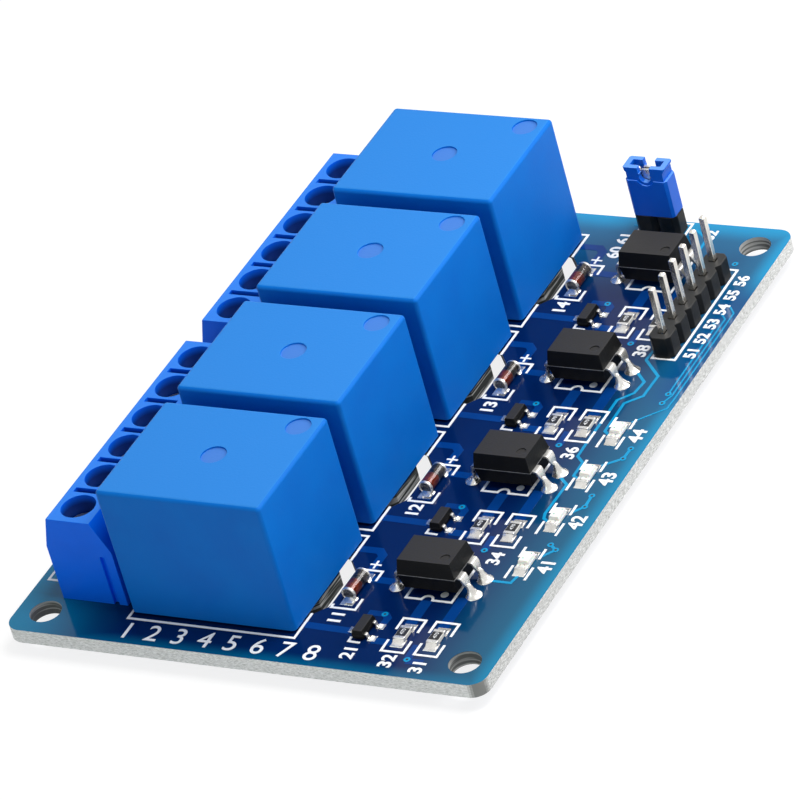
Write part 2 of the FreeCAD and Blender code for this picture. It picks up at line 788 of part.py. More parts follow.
def cap_waist(side, z0):
    """Cut for the grip on one end: straight up from the step, then sloping out to the lug."""
    edge = side * cap_length / 2
    inner, outer = edge - side * cap_waist_depth, edge + side * overcut
    low, high = z0 + cap_step_height, z0 + cap_step_height + cap_waist_tall
    lug = high + cap_lug_slope
    outline = [(outer, low), (inner, low), (inner, high), (edge, lug), (outer, lug)]
    return prism_y(outline, -cap_width, cap_width)


def jumper_cap():
    """Cap with a waist to grip, two open lugs round the pin tips, a notch between them and a round window."""
    z0 = header_body_height + cap_seat_gap
    z1 = z0 + cap_height
    shell = centred_box(0, 0, cap_length, cap_width, z0, z1)
    shell = shell.makeChamfer(cap_edge, [e for e in shell.Edges if is_vertical(e)])
    hollow = centred_box(0, 0, cap_length - 2 * cap_wall, cap_width - 2 * cap_wall,
                         z0 - overcut, z0 + cap_hollow_height)
    slot = centred_box(0, 0, cap_length - 2 * cap_well_wall, cap_well_width, z0, z1 + overcut)
    notch = centred_box(0, 0, cap_notch_width, cap_width + overcut, z1 - cap_notch_depth, z1 + overcut)
    tools = [hollow, slot, notch]
    for side in (-1, 1):
        tools.append(cap_waist(side, z0))
        face = side * cap_width / 2
        inner, outer = face - side * cap_step_depth, face + side * overcut
        near, far = sorted((inner, outer))
        tools.append(box(-cap_length, cap_length, near, far, z0 + cap_step_height, z1 + overcut))
        tools.append(Part.makeCylinder(cap_window_rim / 2, far - near, V(0, near, z0 + cap_window_height),
                                       V(0, 1, 0)))
    tools.append(Part.makeCylinder(cap_window_diameter / 2, cap_width + overcut,
                                   V(0, -(cap_width + overcut) / 2, z0 + cap_window_height), V(0, 1, 0)))
    return cut(shell, tools)


def jumper_clip():
    """Spring contact: a strip each side of the pins, joined by a bridge with two tabs up between the lugs."""
    z0 = header_body_height + cap_seat_gap
    strip_bottom = z0 + clip_start
    strip_top = strip_bottom + clip_height
    strip_y = header_pin_size / 2 + running_gap / 2
    length = cap_length - 2 * cap_wall - 2 * seat_gap
    pieces = [box(-length / 2, length / 2, *sorted((side * strip_y, side * (strip_y + clip_thickness))),
                  strip_bottom, strip_top) for side in (-1, 1)]
    half_bridge = cap_well_width / 2 - clip_bridge_gap
    web_bottom = strip_top - clip_thickness
    pieces.append(centred_box(0, 0, clip_bridge_length, 2 * half_bridge, web_bottom, strip_top))
    pieces += [box(-clip_bridge_length / 2, clip_bridge_length / 2,
                   *sorted((side * (half_bridge - clip_thickness), side * half_bridge)), web_bottom,
                   z0 + cap_height - clip_tab_drop) for side in (-1, 1)]
    return fuse(pieces)


def headers():
    export("input_header_body", moved(header_body(input_pin_places(), False), z=board_top))
    export("input_header_pins", *[moved(header_pin(x, y), z=board_top) for x, y in input_pin_places()])
    export("jumper_header_body", moved(header_body(jumper_pin_places(), True), z=board_top))
    export("jumper_header_pins", *[moved(header_pin(x, y), z=board_top) for x, y in jumper_pin_places()])
    export("jumper_cap", moved(jumper_cap(), jumper_header_x, jumper_header_y, board_top))
    export("jumper_clip", moved(jumper_clip(), jumper_header_x, jumper_header_y, board_top))


os.makedirs("parts", exist_ok=True)
export("circuit_board", board())
relays()
terminals()
driver_parts()
headers()
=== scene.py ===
"""Looks of the relay module board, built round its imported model. Drawn in millimetres, kept in metres."""
import json
import math

import bmesh
import bpy
from mathutils import Matrix, Vector


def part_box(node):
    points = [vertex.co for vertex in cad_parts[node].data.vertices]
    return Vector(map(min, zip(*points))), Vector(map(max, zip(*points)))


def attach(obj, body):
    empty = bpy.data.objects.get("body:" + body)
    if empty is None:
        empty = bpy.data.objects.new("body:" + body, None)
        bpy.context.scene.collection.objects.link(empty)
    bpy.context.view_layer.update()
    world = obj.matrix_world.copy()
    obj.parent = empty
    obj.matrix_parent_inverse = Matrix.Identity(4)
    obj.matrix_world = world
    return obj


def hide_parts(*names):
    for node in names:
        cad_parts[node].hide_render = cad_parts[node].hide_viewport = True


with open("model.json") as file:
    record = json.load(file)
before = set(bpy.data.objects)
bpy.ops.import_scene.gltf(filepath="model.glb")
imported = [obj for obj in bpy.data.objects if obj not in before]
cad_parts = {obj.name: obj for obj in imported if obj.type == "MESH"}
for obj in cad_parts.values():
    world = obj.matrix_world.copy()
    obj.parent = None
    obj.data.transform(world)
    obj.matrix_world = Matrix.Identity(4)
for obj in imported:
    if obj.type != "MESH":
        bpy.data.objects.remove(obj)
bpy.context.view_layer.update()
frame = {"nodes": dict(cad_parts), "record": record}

MM = 0.001
record = frame["record"]
body_of = {name: body for body, names in record["behaviour"]["bodies"].items() for name in names}


def box(name):
    """Lowest and highest corner of a CAD node, in millimetres."""
    low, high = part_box(name)
    return Vector(low) / MM, Vector(high) / MM


def middle(name):
    low, high = box(name)
    return (low + high) / 2


def lead_ends(name):
    """Middle of each trimmed lead end of a CAD node: its lowest points, gathered where they lie together."""
    reach = 1.2
    lowest = box(name)[0].z
    ends = []
    for vertex in frame["nodes"][name].data.vertices:
        place = vertex.co / MM
        if place.z > lowest + 0.01:
            continue
        near = [end for end in ends if (end[0] - place).length < reach]
        near[0].append(place) if near else ends.append([place])
    return [Vector(((min(p.x for p in end) + max(p.x for p in end)) / 2,
                    (min(p.y for p in end) + max(p.y for p in end)) / 2, lowest)) for end in ends]


# Places taken from the frame

board_low, board_high = box("circuit_board")
under, top = board_low.z, board_high.z
half_width, half_length = board_high.x, board_high.y
channels = range(1, 5)
poles = range(1, 13)
rows = [middle(f"relay_cover_{n}").y for n in channels]
rows_middle = sum(rows) / len(rows)
relay_high = box("relay_cover_1")[1]
relay_end = relay_high.x
opto_x = middle("optocoupler_bodies").x
opto_y = middle("optocoupler_bodies").y - rows_middle
opto_places = [(opto_x, row + opto_y) for row in rows]
opto_half_length = (box("optocoupler_bodies")[1].x - box("optocoupler_bodies")[0].x) / 2
diode_x = middle("diodes").x
transistor_x = middle("transistors").x
chip_y = middle("transistors").y - rows_middle
resistor_size = Vector((1.25, 2.0, 0.5))
resistor_columns = [box("resistors")[0].x + resistor_size.x / 2, box("resistors")[1].x - resistor_size.x / 2]
resistor_places = [(x, row + chip_y) for row in rows for x in resistor_columns]
lamp_size = Vector((1.3, 2.6, 0.8))
lamp_low, lamp_high = box("indicator_lamps")
lamp_x = middle("indicator_lamps").x
lamp_pitch = (lamp_high.y - lamp_low.y - lamp_size.y) / (len(rows) - 1)
lamp_rows = [lamp_low.y + lamp_size.y / 2 + i * lamp_pitch for i in range(len(rows))]
terminal_top = box("terminal_block_1")[1].z
terminal_ends = [corner.y for n in (1, 2) for corner in box(f"terminal_block_{n}")]
screw_x = middle("terminal_screw_01").x
input_pins = lead_ends("input_header_pins")


# Colour and nodes

# Sockets of a Mix node that mixes colours: three that go in, and its result
FACTOR, UNDER, OVER, MIXED = 0, 6, 7, 2


def colour(code):
    """Linear colour from an sRGB hex value."""
    parts = [int(code[i:i + 2], 16) / 255 for i in (1, 3, 5)]
    return tuple(c / 12.92 if c <= 0.04045 else ((c + 0.055) / 1.055) ** 2.4 for c in parts) + (1.0,)


def main_output(source):
    """A socket as it is, or a node's result: the colour of a Mix node, the first output of any other."""
    if isinstance(source, bpy.types.NodeSocket):
        return source
    return source.outputs[MIXED if source.bl_idname == "ShaderNodeMix" else 0]


def feed(tree, source, target, socket):
    """Links a node or an output socket to an input."""
    tree.links.new(main_output(source), target.inputs[socket])


def add(tree, kind, inputs=None, **settings):
    """Adds a node. An input is a value, or a node or output socket to link. Every Mix node mixes colours."""
    made = tree.nodes.new(kind)
    if kind == "ShaderNodeMix":
        made.data_type = "RGBA"
    for name, value in settings.items():
        setattr(made, name, value)
    for name, value in (inputs or {}).items():
        if isinstance(value, (bpy.types.Node, bpy.types.NodeSocket)):
            feed(tree, value, made, name)
        else:
            made.inputs[name].default_value = value
    return made


def start(name, code, roughness, **sockets):
    """A new material with its shader's plain values."""
    material = bpy.data.materials.new(name)
    material.use_nodes = True
    tree = material.node_tree
    shader = tree.nodes["Principled BSDF"]
    shader.inputs["Base Color"].default_value = colour(code)
    shader.inputs["Roughness"].default_value = roughness
    for socket, value in sockets.items():
        shader.inputs[socket.replace("_", " ")].default_value = value
    return material, tree, shader


def vary(tree, shader, size, light, dark, bump=0.0, depth=0.02, rough=None):
    """Clouds the colour between two tones over patches of a size in millimetres, and roughens the surface."""
    place = add(tree, "ShaderNodeTexCoord").outputs["Object"]
    cloud = add(tree, "ShaderNodeTexNoise", {"Vector": place, "Scale": 1 / (size * MM), "Detail": 4.0})
    tones = add(tree, "ShaderNodeMix", {FACTOR: cloud, UNDER: colour(dark), OVER: colour(light)})
    feed(tree, tones, shader, "Base Color")
    if rough:
        spread = add(tree, "ShaderNodeMapRange", {"Value": cloud, "To Min": rough[0], "To Max": rough[1]})
        feed(tree, spread, shader, "Roughness")
    if bump:
        grit = add(tree, "ShaderNodeTexNoise", {"Vector": place, "Scale": 1 / (bump * MM), "Detail": 3.0})
        relief = add(tree, "ShaderNodeBump", {"Height": grit, "Distance": depth * MM, "Strength": 0.6})
        feed(tree, relief, shader, "Normal")
    return place, tones


def clouded(name, code, roughness, size, light, dark, bump=0.0, depth=0.02, rough=None, **sockets):
    """A whole material of one clouded colour: its plain look first, then the patches as vary takes them."""
    material, tree, shader = start(name, code, roughness, **sockets)
    vary(tree, shader, size, light, dark, bump, depth, rough)
    return material


def facing_parts(tree):
    """The way a face looks, as its X, Y and Z parts."""
    normal = add(tree, "ShaderNodeNewGeometry").outputs["True Normal"]
    return add(tree, "ShaderNodeSeparateXYZ", {0: normal}).outputs


def paler_tops(tree, shader, tones, code):
    """Gives faces that look up a paler tone, a painted sheen of the light from above. Returns which faces
    they are, and the mixed colour.
    """
    level = add(tree, "ShaderNodeMath", {0: facing_parts(tree)["Z"], 1: 0.9}, operation="GREATER_THAN")
    mixed = add(tree, "ShaderNodeMix", {FACTOR: level, UNDER: tones, OVER: colour(code)})
    feed(tree, mixed, shader, "Base Color")
    return level, mixed


# Finishes

def moulded_blue_pbt():
    """Relay cover: satin PBT with a fine spark-eroded grain, drawn coarse enough to show, and a painted sheen
    on the faces that look up. The ejector marks' floors are smoother, and their painted sheen is greyer and a
    little more violet."""
    material, tree, shader = start("moulded blue PBT", "#026bca", 0.46, Specular_IOR_Level=0.1)
    place, tones = vary(tree, shader, 5.0, "#0273d0", "#0263c3", bump=0.24, depth=0.02, rough=(0.42, 0.52))
    # Faces that look up get a paler tone: a painted sheen.
    level, painted_top_sheen = paler_tops(tree, shader, tones, "#2a7ccd")
    # The up-facing floors of the ejector marks take a greyer, more violet tone of the painted top sheen.
    height = add(tree, "ShaderNodeSeparateXYZ", {0: place}).outputs["Z"]
    skin = 0.1
    below = add(tree, "ShaderNodeMath", {0: height, 1: (relay_high.z - skin) * MM}, operation="LESS_THAN")
    sunk = add(tree, "ShaderNodeMath", {0: level, 1: below}, operation="MULTIPLY")
    marked = add(tree, "ShaderNodeMix", {FACTOR: sunk, UNDER: painted_top_sheen, OVER: colour("#4278c8")})
    feed(tree, marked, shader, "Base Color")
    return material


def moulded_blue_polyamide():
    """Terminal housings: polyamide, a little more violet and glossier than the relays, with a painted sheen
    on top, and deep blue down in the wells and slots, painted shade."""
    material, tree, shader = start("moulded blue polyamide", "#026af6", 0.4, Specular_IOR_Level=0.12)
    place, tones = vary(tree, shader, 4.0, "#0270fc", "#0264ec", bump=0.3, depth=0.008, rough=(0.36, 0.46))
    # Faces that look up get a paler tone: a painted sheen.
    level, painted_top_sheen = paler_tops(tree, shader, tones, "#2f7de4")
    along = add(tree, "ShaderNodeSeparateXYZ", {0: place}).outputs
    # Down in the wells and the slots between them the colour runs to deep blue: painted shade.
    well_reach, end_skin, fully_deep = 1.9, 0.3, 1.0
    deep = add(tree, "ShaderNodeMapRange", {"Value": along["Z"], "From Min": (terminal_top - 0.02) * MM,
                                            "From Max": (terminal_top - fully_deep) * MM})
    wells = add(tree, "ShaderNodeMath", {0: along["X"], 1: screw_x * MM, 2: well_reach * MM},
                operation="COMPARE")
    shade = add(tree, "ShaderNodeMath", {0: deep, 1: wells}, operation="MULTIPLY")
    for end in terminal_ends:
        outside = add(tree, "ShaderNodeMath", {0: along["Y"], 1: end * MM, 2: end_skin * MM},
                      operation="COMPARE")
        shade = add(tree, "ShaderNodeMath", {0: shade, 1: outside}, operation="SUBTRACT", use_clamp=True)
    shaded = add(tree, "ShaderNodeMix", {FACTOR: shade, UNDER: painted_top_sheen, OVER: colour("#02307e")})
    feed(tree, shaded, shader, "Base Color")
    return material


def dark_blue_relay_base():
    """Relay base plate: unfilled PBT, in shade under the cover."""
    return clouded("dark blue relay base", "#0a3f92", 0.5, 3.0, "#0b4499", "#09398a", bump=0.2)


def jumper_blue():
    """Jumper cap: satin royal blue polypropylene, paler on top with a painted sheen."""
    material, tree, shader = start("satin royal blue polypropylene", "#055ccc", 0.35, Specular_IOR_Level=0.2)
    place, tones = vary(tree, shader, 2.0, "#0562d2", "#0456c2", bump=0.15, depth=0.004, rough=(0.3, 0.4))
    # Faces that look up get a paler tone: a painted sheen.
    paler_tops(tree, shader, tones, "#5a90de")
    return material


def nearness(tree, coordinate, edge, reach):
    """1 at an edge, falling to 0 at a distance from it in millimetres."""
    fall = {"Value": coordinate, "From Min": edge * MM, "From Max": (edge + reach) * MM, "To Min": 1.0,
            "To Max": 0.0}
    return add(tree, "ShaderNodeMapRange", fall, interpolation_type="SMOOTHSTEP")


def greatest(tree, sources):
    most = sources[0]
    for source in sources[1:]:
        most = add(tree, "ShaderNodeMath", {0: most, 1: source}, operation="MAXIMUM")
    return most


def mask_tones(tree, along, clouds):
    """The component side: deep blue in the middle; a grey-blue zone towards the right and far edges, a
    painted reflection of glare; teal along the outer edges, painted light where light comes through the
    laminate; both lighter towards the far end, painted light; and mid blue in a strip next to the input
    header, painted shade where the header keeps the glare off."""
    right, left = (along["X"], half_width), (along["X"], -half_width)
    far, front = (along["Y"], half_length), (along["Y"], -half_length)
    strip_middle, strip_half_length, strip_x = 18.0, 7.0, 26.0
    # Grey-blue zone towards the right and far edges: a painted reflection of glare.
    painted_glare = greatest(tree, [nearness(tree, *right, -10.5), nearness(tree, *far, -15.0)])
    # Teal along the outer edges, faint along the front: painted light, where light comes through the
    # laminate.
    faint = add(tree, "ShaderNodeMath", {0: nearness(tree, *front, 1.8), 1: 0.4}, operation="MULTIPLY")
    rim = greatest(tree, [nearness(tree, *right, -2.0), nearness(tree, *left, 14.0),
                          nearness(tree, *far, -3.0), faint])
    # Mid blue next to the input header: painted shade, where the header keeps the glare off.
    offset = add(tree, "ShaderNodeMath", {0: along["Y"], 1: strip_middle * MM}, operation="SUBTRACT")
    distance = add(tree, "ShaderNodeMath", {0: offset}, operation="ABSOLUTE")
    header_blocked_glare = add(tree, "ShaderNodeMath", {0: nearness(tree, distance, strip_half_length, 6.0),
                                          1: nearness(tree, along["X"], strip_x, -3.5)}, operation="MULTIPLY")
    # Both zones lighter towards the far end: painted light.
    away = add(tree, "ShaderNodeMapRange", {"Value": along["Y"], "From Min": -0.4 * half_length * MM,
                                            "From Max": half_length * MM})
    tone = clouds
    for factor, nearer, farther in ((painted_glare, "#0e5778", "#165f88"), (rim, "#01769e", "#0e88b8")):
        lit = add(tree, "ShaderNodeMix", {FACTOR: away, UNDER: colour(nearer), OVER: colour(farther)})
        tone = add(tree, "ShaderNodeMix", {FACTOR: factor, UNDER: tone, OVER: lit})
    return add(tree, "ShaderNodeMix", {FACTOR: header_blocked_glare, UNDER: tone, OVER: colour("#04487a")})


def laminate_tones(tree, place, along, facing):
    """Cut laminate: pale speckled fibre round the outside, with painted shade on the right side, which gets
    the most light, greyer on the milled corners, and dark walls in the slots and holes, painted shade that is
    darkest in the slots, with bright plies."""
    squashed = add(tree, "ShaderNodeMapping", {"Vector": place, "Scale": (1.0, 1.0, 5.0)})
    fibre = add(tree, "ShaderNodeTexNoise", {"Vector": squashed, "Scale": 1 / (0.45 * MM), "Detail": 5.0,
                                             "Roughness": 0.75})
    speckle = add(tree, "ShaderNodeMapRange", {"Value": fibre, "From Min": 0.38, "From Max": 0.6})
    pale = add(tree, "ShaderNodeMix", {FACTOR: speckle, UNDER: colour("#c2c3c1"), OVER: colour("#ffffff")})
    # The right side's cut face is darker: painted shade, as that side gets the most light.
    shaded_right_cut = add(tree, "ShaderNodeMix", {FACTOR: speckle, UNDER: colour("#9fa09e"), OVER: colour("#e6e7e6")})
    right_side = add(tree, "ShaderNodeMath", {0: facing["X"], 1: 0.7}, operation="GREATER_THAN")
    cut = add(tree, "ShaderNodeMix", {FACTOR: right_side, UNDER: pale, OVER: shaded_right_cut})
    slant = add(tree, "ShaderNodeMath", {0: facing["X"], 1: facing["Y"]}, operation="MULTIPLY")
    milled = add(tree, "ShaderNodeMapRange", {"Value": slant, "From Min": -0.1, "From Max": -0.4})
    outside = add(tree, "ShaderNodeMix", {FACTOR: milled, UNDER: cut, OVER: colour("#8b8c8a")})

    seams = add(tree, "ShaderNodeMapping", {"Vector": place, "Scale": (0.1, 0.1, 2.2)})
    plies = add(tree, "ShaderNodeTexNoise", {"Vector": seams, "Scale": 1 / (0.8 * MM), "Detail": 2.0})
    banded = add(tree, "ShaderNodeMapRange", {"Value": plies, "From Min": 0.5, "From Max": 0.6})
    # Walls of the slots and holes are dark, darkest in the slots: painted shade behind the bright plies.
    aside = add(tree, "ShaderNodeMath", {0: along["X"]}, operation="ABSOLUTE")
    in_hole = add(tree, "ShaderNodeMath", {0: aside, 1: 0.7 * half_width * MM}, operation="GREATER_THAN")
    dim = add(tree, "ShaderNodeMix", {FACTOR: in_hole, UNDER: colour("#2e312f"), OVER: colour("#666867")})
    shaded_inner_wall = add(tree, "ShaderNodeMix", {FACTOR: banded, UNDER: dim, OVER: colour("#b4b5b3")})

    at_edge = greatest(tree, [nearness(tree, along[axis], side * edge, -side * 0.7)
                              for axis, edge in (("X", half_width), ("Y", half_length)) for side in (1, -1)])
    outer = add(tree, "ShaderNodeMath", {0: at_edge, 1: 0.02}, operation="GREATER_THAN")
    return add(tree, "ShaderNodeMix", {FACTOR: outer, UNDER: shaded_inner_wall, OVER: outside})


def solder_mask():
    """Glossy blue mask over laminate, lighter below: painted light that lifts the underside, which the lamps
    don't reach. Cut faces are bare and matt.
    """
    material, tree, shader = start("blue solder mask on glass-fibre laminate", "#011c4c", 0.1,
                                   Specular_IOR_Level=0.18)
    place, clouds = vary(tree, shader, 9.0, "#022358", "#011643", bump=1.1, depth=0.003)
    along = add(tree, "ShaderNodeSeparateXYZ", {0: place}).outputs
    facing = facing_parts(tree)
    upright = add(tree, "ShaderNodeMath", {0: facing["Z"]}, operation="ABSOLUTE")
    masked = add(tree, "ShaderNodeMath", {0: upright, 1: 0.5}, operation="GREATER_THAN")
    beneath = add(tree, "ShaderNodeMath", {0: facing["Z"], 1: -0.5}, operation="LESS_THAN")
    above = mask_tones(tree, along, clouds)
    # Faces that look down get a lighter blue: painted light for the underside, which the lamps don't reach.
    faces = add(tree, "ShaderNodeMix", {FACTOR: beneath, UNDER: above, OVER: colour("#0a4690")})
    walls = laminate_tones(tree, place, along, facing)
    whole = add(tree, "ShaderNodeMix", {FACTOR: masked, UNDER: walls, OVER: faces})
    feed(tree, whole, shader, "Base Color")
    gloss = add(tree, "ShaderNodeMapRange", {"Value": masked, "To Min": 0.75, "To Max": 0.1})
    feed(tree, gloss, shader, "Roughness")
    return material


def mask_over_copper(name, code, light, dark):
    """The same mask over copper, clearer than over laminate: cyan on the fine tracks, painted light like the
    board's lit rim, and a brighter blue on the underside, painted light for the unlit underside."""
    return clouded(name, code, 0.13, 4.0, light, dark, rough=(0.1, 0.18), Specular_IOR_Level=0.12)


def white_ink():
    """Screen-printed marks: matt white epoxy ink with faint thin patches."""
    return clouded("white epoxy ink", "#f6f6f4", 0.6, 0.8, "#fafaf9", "#e6e8ea", bump=0.12, depth=0.004)


def tin_solder():
    """Bright solder: smooth, a little pitted, with darker flux-stained patches."""
    return clouded("bright tin solder", "#dedcd8", 0.24, 0.9, "#f4f2ee", "#b9b6b0", bump=0.25, depth=0.02,
                   rough=(0.16, 0.36), Metallic=0.85)


def tinned_metal():
    """Tin-plated leads and chip ends: bright with a fine draw along them."""
    return clouded("tin-plated lead", "#e2e0dc", 0.28, 0.6, "#f0eeea", "#c9c6c0", bump=0.15, depth=0.008,
                   rough=(0.2, 0.36), Metallic=0.85)


def dull_tin_face():
    """Dimpled end faces of the diodes: dull tin, grey where it mirrors the board."""
    return clouded("dull dimpled tin", "#6e6d6a", 0.26, 0.4, "#8b8a86", "#4c4b49", bump=0.14, depth=0.01,
                   rough=(0.2, 0.34), Metallic=1.0)


def header_pin_metal():
    """Square header pins: tin plate over brass, bright on the lit face."""
    return clouded("tin-plated brass pin", "#e6e2da", 0.22, 1.5, "#f2eee6", "#cfcac0", bump=0.2, depth=0.006,
                   rough=(0.16, 0.3), Metallic=1.0)


def zinc_plated_steel():
    """Terminal screws and clamps: clear-passivated zinc, faintly blotched."""
    return clouded("zinc-plated steel", "#b9bcc2", 0.34, 0.7, "#c9ccd2", "#9fa3ab", bump=0.1, depth=0.006,
                   rough=(0.26, 0.42), Metallic=1.0)


def magnet_iron():
    """Nickel-plated soft iron in the relays."""
    return clouded("nickel-plated iron", "#b4b2ac", 0.36, 1.2, "#bdbbb5", "#a5a29b", rough=(0.3, 0.42),
                   Metallic=1.0)


def enamelled_copper():
    """Relay winding: turns of enamelled wire, drawn as fine rings up the bobbin."""
    material, tree, shader = start("enamelled copper wire", "#a8552a", 0.3, Metallic=0.8)
    place, tones = vary(tree, shader, 1.0, "#b86233", "#8e4420")
    turns = add(tree, "ShaderNodeTexWave", {"Vector": place, "Scale": 1 / (0.6 * MM)}, bands_direction="Z")
    relief = add(tree, "ShaderNodeBump", {"Height": turns.outputs["Fac"], "Distance": 0.04 * MM})
    feed(tree, relief, shader, "Normal")
    return material


def black_epoxy():
    """Optocouplers and transistors: filled epoxy moulding, matt and slightly grey from its mould grain, paler
    on top with a painted sheen.
    """
    material, tree, shader = start("black epoxy moulding", "#0a0a0a", 0.5, Specular_IOR_Level=0.15)
    place, tones = vary(tree, shader, 0.8, "#0e0e0e", "#070707", bump=0.2, depth=0.03, rough=(0.46, 0.56))
    # Faces that look up get a paler tone: a painted sheen.
    paler_tops(tree, shader, tones, "#2e2d2d")
    return material


def epoxy_flash():
    """Thin broken flash at the optocouplers' parting line, greyer than the moulding: a painted highlight
    along the parting line.
    """
    return clouded("epoxy flash, painted highlight", "#4a4a4b", 0.6, 0.25, "#a0a0a1", "#101010", bump=0.1)


def black_header_plastic():
    """Pin header bodies: glass-filled nylon, satin black, paler on top with a painted sheen."""
    material, tree, shader = start("black glass-filled nylon", "#0a0a0a", 0.42, Specular_IOR_Level=0.2)
    place, tones = vary(tree, shader, 0.7, "#101010", "#080808", bump=0.2, depth=0.02, rough=(0.36, 0.5))
    # Faces that look up get a paler tone: a painted sheen.
    paler_tops(tree, shader, tones, "#2a2a2a")
    return material


def white_nylon():
    """Relay bobbins."""
    return clouded("white nylon moulding", "#e4e2da", 0.5, 1.5, "#e8e6de", "#dbd8cf")


def alumina_ceramic():
    """Chip resistors' substrate: fired alumina, matt white with a slight grain at the snapped edges."""
    return clouded("fired alumina", "#e9e6df", 0.55, 0.3, "#f3f1ea", "#d8d4ca", bump=0.1, depth=0.01)


def black_glaze():
    """Chip resistors' overglaze: near-black glass, satin."""
    return clouded("black overglaze", "#141416", 0.3, 0.5, "#1c1c20", "#0f0f11", rough=(0.24, 0.38))


def lamp_epoxy():
    """Chip lamps' lens: milky white epoxy, slightly translucent."""
    return clouded("milky lamp epoxy", "#f7f5ee", 0.35, 0.5, "#fbfaf5", "#eeeae0", bump=0.2, depth=0.008,
                   Subsurface_Weight=0.2, Subsurface_Scale=0.4 * MM)


def lamp_mark():
    """Small green cathode mark on each lamp."""
    return clouded("green lamp mark", "#3fae8c", 0.5, 0.2, "#48b894", "#36a080")


def diode_glass():
    """Diode tube: clear lead glass with a faint warm tint."""
    return clouded("clear diode glass", "#f4e6dc", 0.04, 0.6, "#f6e9e0", "#eedccf", rough=(0.02, 0.08),
                   Transmission_Weight=1.0, IOR=1.52)


def dumet_slug():
    """Copper-clad studs in the glass, red-brown from their oxide."""
    return clouded("oxidised copper-clad stud", "#8c3322", 0.36, 0.4, "#a84630", "#682216", bump=0.1,
                   depth=0.01, rough=(0.28, 0.45), Metallic=0.55)


def silicon_die():
    """Dark chip between the diode's studs, also given to the far stud."""
    return clouded("silicon die", "#26221f", 0.3, 0.3, "#332d29", "#1a1715")


def seen_directly(tree):
    """1 for rays from the camera, a mirror or glass, which show the white surroundings."""
    seen = add(tree, "ShaderNodeLightPath").outputs
    return greatest(tree, [seen["Is Camera Ray"], seen["Is Glossy Ray"], seen["Is Transmission Ray"]])


def pale_floor():
    """Plain pale studio floor, clear from below so that the board's underside can be looked at."""
    material, tree, shader = start("pale studio floor", "#e4e4e4", 0.9, Specular_IOR_Level=0.0)
    soft = add(tree, "ShaderNodeBsdfDiffuse", {"Color": (0.2, 0.2, 0.2, 1)})
    bright = add(tree, "ShaderNodeEmission", {"Color": (1, 1, 1, 1), "Strength": 0.84})
    lifted = add(tree, "ShaderNodeAddShader", {0: soft, 1: bright})
    lit = add(tree, "ShaderNodeMixShader", {0: seen_directly(tree), 1: shader, 2: lifted})
    clear = add(tree, "ShaderNodeBsdfTransparent")
    behind = add(tree, "ShaderNodeNewGeometry").outputs["Backfacing"]
    whole = add(tree, "ShaderNodeMixShader", {0: behind, 1: lit, 2: clear})
    feed(tree, whole, tree.nodes["Material Output"], "Surface")
    return material


mask = solder_mask()
copper_mask = mask_over_copper("blue mask over wide tracks", "#04377a", "#053d84", "#03316e")
# Cyan over the fine tracks: painted light like the board's lit rim.
fine_mask = mask_over_copper("cyan mask over fine tracks", "#0e90c0", "#109acc", "#0b80b0")
# Brighter blue over the underside's copper: painted light for the unlit underside.
under_mask = mask_over_copper("blue mask over poured copper", "#1468c0", "#1670cc", "#115cac")
ink = white_ink()
solder = tin_solder()
tinned = tinned_metal()
tin_face = dull_tin_face()
pin_metal = header_pin_metal()
zinc = zinc_plated_steel()
iron = magnet_iron()
epoxy = black_epoxy()
flash = epoxy_flash()
header_plastic = black_header_plastic()
relay_blue = moulded_blue_pbt()
terminal_blue = moulded_blue_polyamide()
base_blue = dark_blue_relay_base()
cap_blue = jumper_blue()
nylon = white_nylon()
copper = enamelled_copper()
ceramic = alumina_ceramic()
glaze = black_glaze()
lens = lamp_epoxy()
green = lamp_mark()
glass = diode_glass()
stud = dumet_slug()
die = silicon_die()


# Forms, drawn in millimetres

def placed(x, y, z, turn):
    """Matrix that turns by degrees about the upright axis and moves to a place."""
    return Matrix.Translation((x, y, z)) @ Matrix.Rotation(math.radians(turn), 4, "Z")


def new_object(name, data):
    made = bpy.data.objects.new(name, data)
    bpy.context.scene.collection.objects.link(made)
    return made


def finish_piece(name, bm, material, body="board", edge=0.0, segments=2, crease=35):
    """Makes a drawn mesh an object in metres that rides on a body, with its hard edges softened."""
    bmesh.ops.scale(bm, vec=(MM, MM, MM), verts=bm.verts)
    mesh = bpy.data.meshes.new(name)
    bm.to_mesh(mesh)
    bm.free()
    piece = new_object(name, mesh)
    mesh.materials.append(material)
    mesh.shade_smooth()
    mesh.set_sharp_from_angle(angle=math.radians(crease))
    if edge:
        bevel = piece.modifiers.new("softened edges", "BEVEL")
        bevel.width = edge * MM
        bevel.segments = segments
        bevel.limit_method = "ANGLE"
        bevel.angle_limit = math.radians(crease)
    even = piece.modifiers.new("even shading", "WEIGHTED_NORMAL")
    even.keep_sharp = True
    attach(piece, body)
    return piece


def dress(name, material, edge=0.0, segments=2):
    """A merged, smooth copy of a CAD node with softened edges, shown in the node's place."""
    bm = bmesh.new()
    bm.from_mesh(frame["nodes"][name].data)
    bmesh.ops.scale(bm, vec=(1 / MM, 1 / MM, 1 / MM), verts=bm.verts)
    bmesh.ops.remove_doubles(bm, verts=bm.verts, dist=0.002)
    bmesh.ops.dissolve_limit(bm, angle_limit=math.radians(0.5), verts=bm.verts, edges=bm.edges)
    piece = finish_piece(name + "_form", bm, material, body_of[name], edge, segments)
    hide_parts(name)


def paint(name, material):
    """Gives a CAD node a finish and shows it as it is."""
    for holder in frame["nodes"][name].material_slots:
        holder.material = material


